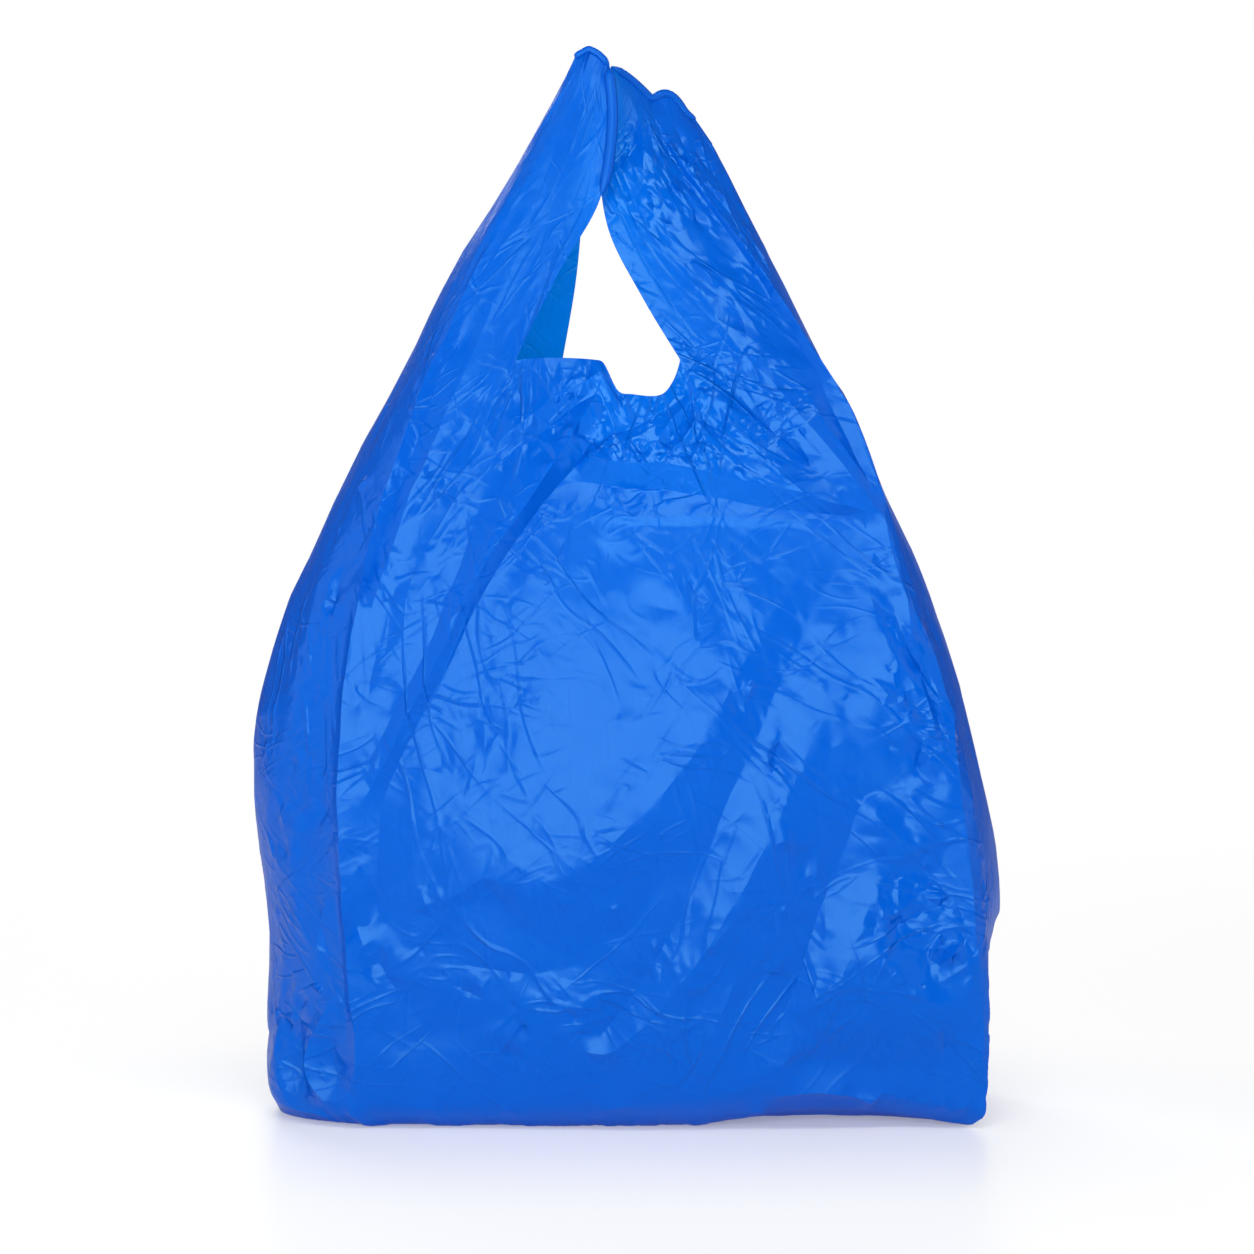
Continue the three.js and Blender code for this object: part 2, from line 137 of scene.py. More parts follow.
# Outlines of the standing bag: share of the mouth's height, then of half the face or of the named size,
# and for the rims share across the face, then of the mouth's height
outlines = {
    "leftCrease": [(0, 0.98), (0.23, 1), (0.4, 1.03), (0.56, 1.01), (0.77, 0.93), (0.91, 0.82), (1, 0.74)],
    "rightCrease": [(0, 0.98), (0.15, 0.99), (0.3, 0.96), (0.43, 0.93), (0.56, 0.85), (0.81, 0.67),
                    (0.93, 0.57), (1, 0.47)],
    "depth": [(0, 0.9), (0.25, 1.03), (0.55, 1), (0.8, 0.88), (1, 0.68)],
    "bulge": [(0, 0.1), (0.18, 0.6), (0.42, 1), (0.65, 0.85), (0.85, 0.4), (1, 0.15)],
    "leftSide": [(0, 0.9), (0.06, 1), (0.26, 0.9), (0.54, 1), (0.68, 0.84), (0.78, 0.58), (0.9, 0.42),
                 (1, 0.27)],
    "rightSide": [(0.18, 0), (0.24, 0.75), (0.33, 1), (0.45, 0.75), (0.6, 0.85), (0.75, 0.6), (0.85, 0.12),
                  (1, 0.05)],
    "tuck": [(0, 0.1), (0.1, 1), (0.2, 0.35), (0.27, 0)],
    "frontRim": [(0.25, 1), (0.35, 1.003), (0.5, 1), (0.522, 0.994), (0.54, 0.962), (0.58, 0.956),
                 (0.66, 0.955), (0.71, 0.975), (0.75, 1)],
    "backRim": [(0.25, 1), (0.32, 0.97), (0.42, 0.945), (0.58, 0.945), (0.68, 0.97), (0.75, 1)],
}
mouthCorners = {"front": (0.22, 0.64), "back": (0.33, 0.67)}  # across each face, once the mouth is drawn in

# Handles, and their lines in the front view: share of half the face, then share of the rise to the top
handles = {
    "left": {
        "top": 501.0, "lean": -18.0, "slant": 0.0, "crown": 0.0,
        "crease": [(-0.61, 0.28), (-0.455, 0.55), (-0.325, 0.8), (-0.25, 0.98)],
        "side": [(-0.69, 0.27), (-0.525, 0.53), (-0.386, 0.783), (-0.3, 0.95)],
        "front": [(-0.34, 0.28), (-0.215, 0.51), (-0.175, 0.75), (-0.185, 0.925)],
        "back": [(-0.295, 0.26), (-0.27, 0.5), (-0.25, 0.72), (-0.185, 0.925)],
    },
    "right": {
        "top": 481.0, "lean": 12.0, "slant": 9.0, "crown": 6.5,
        "crease": [(0.345, 0.24), (0.19, 0.51), (0.03, 0.77), (-0.05, 0.97)],
        "side": [(0.385, 0.25), (0.285, 0.49), (0.165, 0.785), (0.115, 0.895)],
        "front": [(-0.085, 0.24), (-0.19, 0.5), (-0.215, 0.8), (-0.18, 1.09)],
        "back": [(0, 0.25), (-0.1, 0.5), (-0.15, 0.8), (-0.18, 1.09)],
    },
}


def smoothstep(value, low, high):
    t = np.clip((value - low) / (high - low), 0, 1)
    return t * t * (3 - 2 * t)


def lerp(start, end, t):
    return start + (end - start) * t


def curveThrough(knots):  # smooth through its knots, flat beyond its ends
    places = np.array([knot[0] for knot in knots], float)
    values = np.array([knot[1] for knot in knots], float)
    before = np.maximum(np.arange(len(knots)) - 1, 0)
    after = np.minimum(np.arange(len(knots)) + 1, len(knots) - 1)
    slopes = (values[after] - values[before]) / (places[after] - places[before])

    def curve(place):
        place = np.clip(np.asarray(place, float), places[0], places[-1])
        i = np.clip(np.searchsorted(places, place, side="right") - 1, 0, len(knots) - 2)
        span = places[i + 1] - places[i]
        t = (place - places[i]) / span
        ease = 3 * t ** 2 - 2 * t ** 3
        leaving = t * (1 - t) ** 2 * span * slopes[i]
        arriving = t ** 2 * (t - 1) * span * slopes[i + 1]
        return (1 - ease) * values[i] + leaving + ease * values[i + 1] + arriving

    return curve


curves = {name: curveThrough(knots) for name, knots in outlines.items()}


def splinePoints(corners, t):  # even spline through its corners, t from 0 to 1
    corners = np.array(corners, float)
    last = len(corners) - 1
    place = np.asarray(t, float) * last
    i = np.minimum(place.astype(int), last)
    w = (place - i)[:, None]
    p0 = corners[np.maximum(i - 1, 0)]
    p1 = corners[i]
    p2 = corners[np.minimum(i + 1, last)]
    p3 = corners[np.minimum(i + 2, last)]
    v0 = (p2 - p0) / 2
    v1 = (p3 - p1) / 2
    return (2 * p1 - 2 * p2 + v0 + v1) * w ** 3 + (3 * p2 - 3 * p1 - 2 * v0 - v1) * w ** 2 + v0 * w + p1


def sectionAt(height, inset=0.0):
    up = height / bag["mouthHeight"]
    return {
        "left": -half * curves["leftCrease"](up) + inset,
        "right": half * curves["rightCrease"](up) - inset,
        "depth": bag["standDepth"] / 2 * curves["depth"](up) - inset,
        "leftSwell": bag["leftSwell"] * curves["leftSide"](up),
        "rightSwell": bag["rightSwell"] * curves["rightSide"](up) - bag["rightTuck"] * curves["tuck"](up),
    }


def gathered(across, up, corners):  # place across a face once the mouth is drawn in
    pinched = np.interp(across, [0, handleShare, 1 - handleShare, 1], [0, corners[0], corners[1], 1])
    return lerp(across, pinched, up * up)


def bowAt(panel, across, up):
    bulge = bag["frontBulge"] if panel == "front" else bag["backBulge"]
    return bulge * curves["bulge"](up) * np.sin(math.pi * across)


def gussetOut(across, folded):
    return lerp(np.sin(math.pi * across), 1 - abs(1 - 2 * across), folded)


def gussetDepth(across):
    return lerp(2 * across - 1, -np.cos(math.pi * across), bag["gussetRound"])


def outward(panel):
    return -1.0 if panel in ("front", "left") else 1.0


def bodyPoints(panel, across, height, inset=0.0):
    section = sectionAt(height, inset)
    if panel in ("left", "right"):
        x = section[panel] + outward(panel) * section[panel + "Swell"] * gussetOut(across, 0)
        return np.stack([x, section["depth"] * gussetDepth(across), height + 0 * x], axis=1)
    up = height / bag["mouthHeight"]
    x = lerp(section["left"], section["right"], gathered(across, up, mouthCorners[panel]))
    y = outward(panel) * (section["depth"] + bowAt(panel, across, up))
    return np.stack([x, y, height + 0 * x], axis=1)


def handleOf(panel, across):
    if panel in ("left", "right"):
        return handles[panel]
    if across <= handleShare + tiny:
        return handles["left"]
    if across >= 1 - handleShare - tiny:
        return handles["right"]
    return None


def handleLines(gusset, handle):  # its lines from the mouth's height up to its weld
    corner = handleShare if gusset == "left" else 1 - handleShare
    starts = {"crease": (gusset, 0.0), "side": (gusset, 0.5)}
    starts |= {panel: (panel, corner) for panel in ("front", "back")}
    rise = handle["top"] - bag["mouthHeight"]
    lines = {}
    for name, (panel, across) in starts.items():
        foot = bodyPoints(panel, across, np.array([bag["mouthHeight"]]))[0]
        above = [(share * half, bag["mouthHeight"] + up * rise) for share, up in handle[name]]
        lines[name] = [(foot[0], foot[2])] + above
    return lines


for gussetName, handle in handles.items():
    handle["lines"] = handleLines(gussetName, handle)


def handlePoints(panel, across, rise, welded=False):
    handle = handleOf(panel, across)
    closing = (1 - rise) ** bag["handleClosing"]
    openDepth = sectionAt(np.array([bag["mouthHeight"]]))["depth"]
    depth = 0 * rise if welded else lerp(bag["weldDepth"] / 2, openDepth, closing)
    crease = splinePoints(handle["lines"]["crease"], rise)
    if panel in ("left", "right"):
        spread = gussetOut(across, 0)
        chain = 1 + spread
        if welded:
            spread = bag["weldSpread"] * gussetOut(across, bag["weldFold"])
        place = lerp(crease, splinePoints(handle["lines"]["side"], rise), spread)
        out = depth * gussetDepth(across)
        low, high, start = bag["crownSpan"]
        crown = np.clip(1 - ((2 * spread - low - high) / (high - low)) ** 2, 0, 1)
        place[:, 1] += handle["crown"] * (crown * smoothstep(rise, start, 1.0))
    else:
        fromCrease = min(across, 1 - across) / handleShare
        chain = 1 - fromCrease
        place = lerp(crease, splinePoints(handle["lines"][panel], rise), fromCrease)
        place[:, 1] += bag["weldBow"] * math.sin(math.pi * fromCrease) * rise ** bag["rimBend"]
        out = outward(panel) * (depth + bowAt(panel, across, 1.0) * closing)
    lean = handle["lean"] * rise ** bag["leanBend"] + handle["slant"] * (chain - 1) * rise
    top = place[:, 1] + (bag["weldRise"] if welded else 0)
    return np.stack([place[:, 0], out + lean, top], axis=1)


def footRadius(panel, across):
    filled = bag["footFill"] * math.sin(math.pi * across) if panel == "left" else 0
    return bag["footRadius"] * (1 - filled)


def basePoints(panel, across, out):
    foot = bodyPoints(panel, across, np.array([0.0]), footRadius(panel, across))[0]
    section = sectionAt(0.0, bag["footRadius"])
    corners = (section["left"] + section["depth"], section["right"] - section["depth"])
    seal = lerp(corners[0], corners[1], across)
    if panel in ("left", "right"):
        outermost = bodyPoints(panel, 0.5, np.array([0.0]), bag["footRadius"])[0]
        end = outermost[0] - outward(panel) * bag["footRadius"]
        seal = lerp(corners[0 if panel == "left" else 1], end, gussetOut(across, 1))
    return np.stack([lerp(seal, foot[0], out), foot[1] * out, 0 * out], axis=1)


def liftAt(points):  # the front edge of the base arches off the floor
    span = (points[:, 0] / half - bag["liftSpan"][0]) / (bag["liftSpan"][1] - bag["liftSpan"][0])
    along = np.clip(span, 0, 1)
    forward = smoothstep(-points[:, 1] / bag["standDepth"], *bag["liftForward"])
    fade = np.exp(-points[:, 2] / (bag["liftFade"] * bag["frontLift"]))
    return bag["frontLift"] * np.sin(math.pi * along) ** bag["liftRound"] * forward * fade


def columnPoints(panel, across):  # one column of film, from the seal of the base up to the rim or the weld
    rows = bag["rows"]
    parts = [basePoints(panel, across, np.arange(rows["base"]) / rows["base"])]
    turn = np.arange(rows["foot"]) / rows["foot"] * math.pi / 2
    radius = footRadius(panel, across)
    for angle in turn:
        inset = radius * (1 - math.sin(angle))
        height = np.array([radius * (1 - math.cos(angle))])
        parts.append(bodyPoints(panel, across, height, inset))
    handle = handleOf(panel, across)
    rim = 1.0 if handle else float(curves[panel + "Rim"](across))
    up = np.arange(rows["wall"] + 1) / rows["wall"]
    dip = bag["mouthHeight"] * (rim - 1) * up ** bag["rimBend"]
    parts.append(bodyPoints(panel, across, lerp(radius, bag["mouthHeight"], up) + dip))
    if handle:
        rise = np.arange(1, rows["handle"] + 1) / rows["handle"]
        parts.append(handlePoints(panel, across, rise))
        parts.append(handlePoints(panel, across, np.array([1.0]), welded=True))
    points = np.concatenate(parts)
    points[:, 2] += bag["thickness"] / 2 + liftAt(points)
    return points


def filmColumns():  # once round the bag: front from left to right, right gusset, back, left gusset
    count = bag["columns"]
    before = np.linspace(0, handleShare, count["handle"], endpoint=False)
    mouth = np.linspace(handleShare, 1 - handleShare, count["mouth"], endpoint=False)
    faceShares = np.concatenate([before, mouth, np.linspace(1 - handleShare, 1, count["handle"] + 1)])
    gussetShares = np.arange(1, count["gusset"]) / count["gusset"]
    face, gusset = bag["faceWidth"], bag["gussetWidth"]
    columns = [("front", share, share * face) for share in faceShares]
    columns += [("right", share, face + share * gusset) for share in gussetShares]
    columns += [("back", 1 - share, face + gusset + share * face) for share in faceShares]
    columns += [("left", 1 - share, 2 * face + gusset + share * gusset) for share in gussetShares]
    return columns


def rowHeights():  # place of each row along the flat film
    rows = bag["rows"]
    reach = bag["standDepth"] / 2
    base = np.arange(rows["base"]) / rows["base"] * reach
    foot = reach + np.arange(rows["foot"]) / rows["foot"] * bag["footRadius"]
    wall = reach + lerp(bag["footRadius"], bag["mouthHeight"], np.arange(rows["wall"] + 1) / rows["wall"])
    rise = bag["flatLength"] - bag["mouthHeight"] - reach
    handle = reach + bag["mouthHeight"] + np.arange(1, rows["handle"] + 2) / (rows["handle"] + 1) * rise
    return np.concatenate([base, foot, wall, handle])


def joined(points, digits):  # the first of each lot of equal points, and each point's number among these
    firsts, numbers, seen = [], [], {}
    for i, point in enumerate(points):
        key = tuple(np.round(point, digits) + 0.0)
        if key not in seen:
            seen[key] = len(firsts)
            firsts.append(i)
        numbers.append(seen[key])
    return np.array(firsts), np.array(numbers)


def filmNet():  # points, faces, each face's places on the flat film, and the points by column and row
    columns = filmColumns()
    heights = rowHeights()
    lines = [columnPoints(panel, across) for panel, across, _ in columns]
    points = np.concatenate(lines)
    firsts, joins = joined(points, bag["joinDigits"])
    numbers = np.full((len(columns) + 1, len(heights)), -1)
    done = 0
    for i, line in enumerate(lines):
        numbers[i, :len(line)] = joins[done:done + len(line)]
        done += len(line)
    numbers[-1] = numbers[0]
    arounds = np.array([column[2] for column in columns] + [filmGirth])
    faces, places = [], []
    for i in range(len(columns)):
        for row in range(len(heights) - 1):
            corners = [numbers[i, row], numbers[i + 1, row], numbers[i + 1, row + 1], numbers[i, row + 1]]
            spots = [(arounds[i], heights[row]), (arounds[i + 1], heights[row]),
                     (arounds[i + 1], heights[row + 1]), (arounds[i], heights[row + 1])]
            if min(corners) >= 0 and len(set(corners)) == 4:
                faces.append([int(corner) for corner in corners])
                places.append(spots)
    return points[firsts], faces, places, numbers, arounds


def pointNormals(points, faces):
    mesh = bpy.data.meshes.new("normals")
    mesh.from_pydata(points.tolist(), [], faces)
    mesh.update()
    normals = np.zeros(len(points) * 3, np.float32)
    mesh.vertex_normals.foreach_get("vector", normals)
    bpy.data.meshes.remove(mesh)
    return normals.reshape(-1, 3).astype(float)


filmGirth = 2 * (bag["faceWidth"] + bag["gussetWidth"])
smoothPoints, smoothFaces, smoothPlaces, netNumbers, netArounds = filmNet()
netHeights = rowHeights()
cadLow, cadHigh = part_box("bag")
smoothMiddle = (smoothPoints.min(axis=0) + smoothPoints.max(axis=0)) / 2
cadMiddle = (np.array(cadLow) + np.array(cadHigh)) / 2 * metre
smoothPoints[:, :2] += cadMiddle[:2] - smoothMiddle[:2]
smoothNormals = pointNormals(smoothPoints, smoothFaces)
print("smooth film", len(smoothPoints), "points")


def overFilm(values, places):  # values of the smooth net at places of the flat film
    column = np.clip(np.searchsorted(netArounds, places[:, 0], side="right") - 1, 0, len(netArounds) - 2)
    row = np.clip(np.searchsorted(netHeights, places[:, 1], side="right") - 1, 0, len(netHeights) - 2)
    column = np.where(netNumbers[column, row] < 0, column - 1, column)
    row = np.where(netNumbers[column, row + 1] < 0, row - 1, row)
    across = (places[:, 0] - netArounds[column]) / (netArounds[column + 1] - netArounds[column])
    up = (places[:, 1] - netHeights[row]) / (netHeights[row + 1] - netHeights[row])

    def level(line):
        return lerp(values[netNumbers[column, line]], values[netNumbers[column + 1, line]], across[:, None])

    return lerp(level(row), level(row + 1), up[:, None])


# Creases, as lines over the photograph: pixels across and down, then millimetres out of the smooth film
frontCreases = {
    "left gusset crease": [
        (575, 60, 0), (534, 130, 1), (493, 230, 2), (450, 326, 2), (425, 376, 2), (405, 432, 2),
        (385, 490, 2), (370, 540, 2.5), (352, 640, 4), (345, 700, 6), (340, 800, 7), (345, 900, 7),
        (352, 1000, 6), (357, 1061, 4), (352, 1085, 2), (335, 1117, 0)],
    "right gusset crease": [
        (655, 118, -1), (668, 142, -2), (680, 163, -2), (715, 211, -2.5), (736, 238, -3), (790, 320, -4),
        (815, 365, -4), (850, 440, -3), (866, 470, -1.5), (882, 514, 4)],
    "right gusset crease below the star": [
        (882, 514, 4), (906, 587, 4), (930, 650, 4.5), (948, 710, 5), (964, 830, 5), (972, 900, 4),
        (984, 1034, 3), (982, 1090, 0)],
    "strap valley by the crease": [
        (524, 190, 0), (487, 270, 0), (462, 330, -0.5), (440, 375, -1), (420, 430, -1), (398, 490, -1),
        (382, 535, -1), (362, 600, 0)],
    "strap first fold": [
        (577, 88, 1), (567, 114, 1.5), (555, 145, 1.5), (540, 190, 1.2), (508, 270, 1.2), (478, 340, 1.6),
        (452, 400, 2), (430, 450, 2), (405, 510, 2), (385, 570, 2.4), (372, 610, 2.4), (364, 650, 2.6),
        (363, 700, 2.4), (365, 716, 2)],
    "strap hollow": [
        (593, 98, -1.5), (583, 122, -2), (572, 150, -1.5), (556, 190, -0.5), (524, 270, 0.2),
        (492, 345, 0.6), (468, 400, 1), (446, 450, 1.2), (424, 505, 1.3), (408, 560, 1.6), (392, 600, 1.8),
        (378, 650, 1.8), (368, 695, 1.8)],
    "strap second fold": [
        (588, 152, 0.5), (574, 190, 0.8), (548, 260, 1), (520, 320, 1.2), (500, 380, 1.6), (484, 425, 2),
        (462, 480, 2.2), (444, 530, 2.4), (425, 580, 2.6), (405, 632, 3), (385, 672, 3), (365, 716, 2)],
    "strap hollow by the drape": [
        (583, 205, -0.5), (565, 240, -0.3), (545, 280, 0), (522, 330, 0), (508, 385, 0.1), (495, 440, 0.3),
        (488, 480, 0.4), (474, 525, 0.8), (460, 570, 1.2), (442, 612, 1.5), (424, 655, 1.6),
        (404, 692, 1.6), (384, 735, 2), (364, 775, 2.5)],
    "drape edge": [
        (590, 408, 3.5), (573, 436, 5), (556, 463, 5.5), (540, 487, 5.5), (516, 522, 5.2), (498, 548, 5),
        (480, 578, 5), (462, 612, 4.8), (446, 650, 4.6), (430, 680, 4.5), (416, 705, 4.5), (396, 745, 4.2),
        (372, 790, 4), (350, 825, 5), (340, 842, 6)],
    "hollow under the drape": [
        (596, 436, -1), (574, 466, -3.5), (562, 478, -5), (549, 493, -4), (524, 528, -2), (506, 554, -1),
        (488, 584, -0.5), (470, 618, 0), (454, 656, 0), (438, 686, 0), (424, 711, 0.5), (404, 751, 0.5),
        (382, 800, 0), (377, 860, -0.5), (375, 916, -1)],
    "rim fold": [
        (603, 374, 4), (585, 383, 4), (560, 395, 4), (535, 415, 4), (512, 432, 3.5), (499, 441, 2)],
    "under the rim fold": [(601, 392, 1), (580, 402, 0), (556, 420, -1), (535, 439, -1), (517, 449, -1)],
    "roll under the mouth": [
        (590, 457, 5), (612, 463, 5), (640, 466, 5), (680, 468, 4), (720, 476, 4), (786, 490, 4),
        (842, 506, 4.5), (882, 514, 5)],
    "hollow under the roll": [
        (562, 478, -5), (601, 481, -5), (650, 486, -4), (700, 494, -3), (760, 505, -2), (820, 512, -1),
        (858, 515, 1)],
    "thin ridge": [(590, 500, -3), (612, 515, -1), (699, 517, -0.5), (800, 518, -0.5), (850, 518, 1)],
    "under the thin ridge": [(614, 524, -2), (699, 525, -1.5), (800, 526, -1.2)],
    "crease from the thin ridge": [
        (614, 524, -2), (637, 545, -0.5), (682, 590, 1.5), (690, 625, 2.5), (693, 660, 3)],
    "bulge edge": [
        (846, 528, 1.5), (818, 548, 1), (790, 590, 2), (750, 650, 3.5), (722, 705, 5), (700, 742, 5.5),
        (680, 772, 6), (640, 817, 7), (592, 860, 8), (560, 880, 7.5), (520, 881, 7), (483, 872, 7),
        (468, 890, 5.5), (440, 900, 5), (420, 905, 4.5)],
    "bulge middle": [(620, 600, -1), (630, 680, 0), (600, 760, 2.5), (540, 810, 4)],
    "under the bulge": [
        (440, 960, 1), (486, 968, 0.5), (530, 975, 0), (580, 965, -0.5), (630, 925, -1), (676, 870, -1.5)],
    "valley of the diagonal": [
        (866, 530, 1), (846, 552, 0.4), (815, 610, 0.8), (780, 685, 1), (750, 755, 0.4), (722, 815, -0.8),
        (700, 880, -2), (660, 955, -2.5), (605, 1033, -2)],
    "ridge of the diagonal": [
        (874, 548, 3), (856, 600, 3), (838, 660, 3), (815, 735, 3.5), (785, 800, 4), (748, 880, 4.8),
        (705, 950, 5.5), (655, 1015, 5.5), (605, 1054, 4.5), (576, 1048, 3)],
    "valley of the lower ridge": [
        (862, 800, -1), (846, 850, -3), (826, 900, -4), (808, 950, -4), (793, 999, -3)],
    "strip of the lower ridge": [(886, 868, 0), (868, 905, 2.5), (852, 945, 5), (840, 975, 6)],
    "edge of the lower patch": [
        (800, 1010, 4), (818, 992, 5.5), (840, 975, 6), (885, 984, 6), (905, 978, 6), (930, 998, 6.5),
        (962, 1006, 5.5), (982, 1030, 2)],
    "top of the lower patch": [(886, 868, 0), (930, 874, -0.5), (950, 892, 1.5), (960, 915, 2.5)],
    "step in the lower patch": [(957, 917, 3), (938, 930, 1.5), (922, 955, 1), (905, 978, 6)],
    "from the star to the small star": [
        (874, 548, 3), (866, 580, 3), (878, 630, 5), (893, 657, 7), (915, 690, 6.5), (932, 725, 6),
        (943, 757, 5.5)],
    "between the stars": [(890, 600, 3), (905, 650, 3.5), (925, 690, 3), (940, 730, 3)],
    "outer ridge from the star": [
        (885, 524, 4.5), (897, 575, 5.5), (914, 640, 6), (934, 690, 5.5), (948, 740, 5.5), (960, 782, 5)],
    "right strap ridge": [
        (655, 215, 2), (672, 245, 2.5), (690, 278, 2.5), (712, 312, 3), (735, 345, 3), (770, 378, 3.5),
        (800, 415, 3.5), (830, 450, 3.5), (860, 487, 3.5), (882, 514, 4)],
    "right strap inner side": [
        (690, 225, 0.5), (712, 258, 1), (735, 300, 1), (765, 340, 1), (800, 385, 1), (835, 430, 1),
        (864, 478, 2)],
    "right strap hollow": [
        (622, 215, -1), (645, 255, -1), (668, 295, -1.5), (690, 330, -2), (715, 365, -2), (745, 400, -2),
        (780, 436, -2), (815, 466, -1.5)],
    "fold by the left crease": [(377, 921, 0.5), (410, 915, 2.5), (453, 907, 3.5)],
    "left patch": [(358, 926, 0.5), (374, 934, 2.5), (392, 952, 2.8), (384, 976, 2), (404, 979, 2.4)],
    "left patch shade": [(378, 960, -0.5), (398, 995, 0), (432, 985, 1.5)],
    "fan from the bulge": [(468, 895, 3), (500, 960, 3), (540, 1040, 2.5), (556, 1075, 1.5)],
    "second line of the fan": [(505, 905, 2), (545, 975, 1), (560, 1005, 3), (582, 1006, 3.2)],
    "bottom thin fold": [(555, 1100, 1), (580, 1082, 2.2), (604, 1062, 2.5)],
    "bottom fold": [(600, 1110, 1.5), (664, 1101, 2.5), (740, 1090, 3.5), (778, 1066, 4)],
    "bottom right fold": [(770, 1096, 2.5), (805, 1091, 3), (840, 1093, 3.5), (872, 1102, 3)],
    "bottom right hollow": [(800, 1060, -0.5), (850, 1065, -1), (900, 1070, -1), (950, 1068, -0.5)],
    "gusset long crease": [
        (330, 540, 1), (318, 590, 1.5), (308, 650, 1.5), (296, 710, 1.5), (284, 745, 1.5), (273, 773, 2),
        (268, 850, 1.2), (272, 940, 1), (280, 1010, 1)],
    "gusset cross crease": [
        (252, 728, 0.5), (262, 750, 1.2), (273, 773, 2), (288, 830, 1.6), (296, 890, 1.5), (308, 950, 1.8),
        (315, 972, 1.5)],
    "gusset hollow": [(330, 640, -1), (325, 720, -1), (318, 800, -1), (312, 870, -1), (328, 960, -0.5)],
    "gusset upper hollow": [(306, 575, -1), (296, 620, -1), (280, 680, -1)],
    "foot fold": [(346, 985, 1), (325, 1015, 3), (310, 1050, 4.5), (314, 1080, 5), (326, 1100, 4.5)],
    "foot roll": [
        (272, 1058, 2), (274, 1075, 4), (279, 1090, 5), (286, 1100, 5), (300, 1108, 4), (325, 1113, 3)],
    "fold from the rim's tip": [
        (606, 449, 2), (622, 443, 2), (640, 436, 1.8), (655, 426, 1.5), (672, 415, 1.5), (690, 403, 1.2)],
    "valley over that fold": [
        (603, 440, -0.5), (625, 431, -0.3), (648, 420, 0), (668, 408, 0), (686, 398, 0)],
    "point of the first cell": [(657, 442, 3), (666, 428, 3), (677, 414, 3)],
    "floor of the first cell": [(668, 440, -0.5), (683, 427, -0.5), (690, 418, -0.5)],
    "small star's lower arm": [(694, 424, 3.5), (683, 443, 2.5), (672, 446, 1)],
    "small star's upper arm": [(694, 424, 3.5), (699, 408, 2.5), (694, 392, 2)],
    "small star's long arm": [
        (694, 424, 3.5), (703, 432, 2), (712, 440, 3), (725, 455, 3), (741, 468, 3.5), (762, 475, 3.5),
        (784, 481, 4)],
    "beside the small star": [(705, 420, -1), (715, 428, -0.5), (722, 441, 2)],
    "round cell": [
        (712, 398, 2), (724, 400, 2.5), (733, 408, 3), (737, 422, 3), (730, 432, 2), (722, 441, 2)],
    "floor of the round cell": [(722, 441, 2), (722, 420, -0.5), (718, 404, 0.5)],
    "first ripple": [(748, 445, 1), (753, 435, 2), (757, 424, 0.5)],
    "second ripple": [(766, 440, 0), (769, 430, 2), (770, 418, 0.5)],
    "third ripple": [(776, 447, 0.5), (784, 437, 2)],
    "fourth ripple": [(794, 430, 2), (799, 442, 2), (804, 455, 1)],
    "cells left of the dip": [(578, 440, 2.5), (590, 452, 2.5), (597, 461, 1)],
    "fold over those cells": [(577, 431, -0.5), (590, 438, -1), (603, 446, 0)],
    "hollow under the lip": [(583, 76, -1.5), (590, 72, -2.5), (599, 76, -2.5), (606, 86, -1.5)],
    "behind the pleat": [
        (621, 92, -2), (620, 112, -2.5), (617, 135, -2.5), (611, 165, -2), (607, 195, -1.5)],
    "right handle's inner ridge": [
        (628, 90, 1), (635, 108, 2), (641, 130, 2), (643, 150, 2.5), (643, 171, 3)],
    "handle star's left arm": [(643, 171, 3), (631, 164, 1.5), (623, 178, 1)],
    "handle star's right arm": [(643, 171, 3), (655, 180, 2.5), (668, 193, 2.5), (680, 216, 2)],
    "handle star's lower arm": [(643, 171, 3), (635, 190, 2), (640, 207, 2)],
    "hollow by the handle star": [(630, 118, -1), (634, 145, -1), (629, 157, -0.5)],
    "hollow under the hem": [(660, 120, -1.5), (672, 121, -2), (688, 126, -1.5), (702, 136, -0.5)],
    "foot tuck": [(300, 1012, 0), (297, 1050, -3.5), (297, 1076, -4), (303, 1092, -3)],
    "second foot tuck": [(334, 1030, 0), (330, 1062, -3), (336, 1090, -2.5)],
    "right column first line": [
        (892, 548, 4), (905, 600, 6), (912, 650, 6.5), (925, 700, 6.5), (934, 740, 6)],
    "right column facet": [(940, 765, 5.5), (930, 785, 3), (946, 800, 5.5), (938, 822, 3), (955, 838, 5)],
    "right column low facet": [(955, 838, 4), (940, 850, 1), (952, 868, 3), (935, 880, 0.5)],
    "triangle by the column": [
        (862, 800, 4.5), (885, 838, 3.5), (918, 846, 4), (900, 826, 1.5), (878, 806, 2)],
    "left gusset second line": [(325, 900, 0.5), (318, 940, 2), (328, 985, 0.5), (316, 1020, 2)],
    "left gusset third line": [(284, 800, 0), (276, 860, 1.5), (284, 920, 0), (274, 980, 1.5)],
    "outer foot fold": [(282, 1020, 1.5), (281, 1050, 4), (285, 1075, 5), (291, 1094, 5)],
}

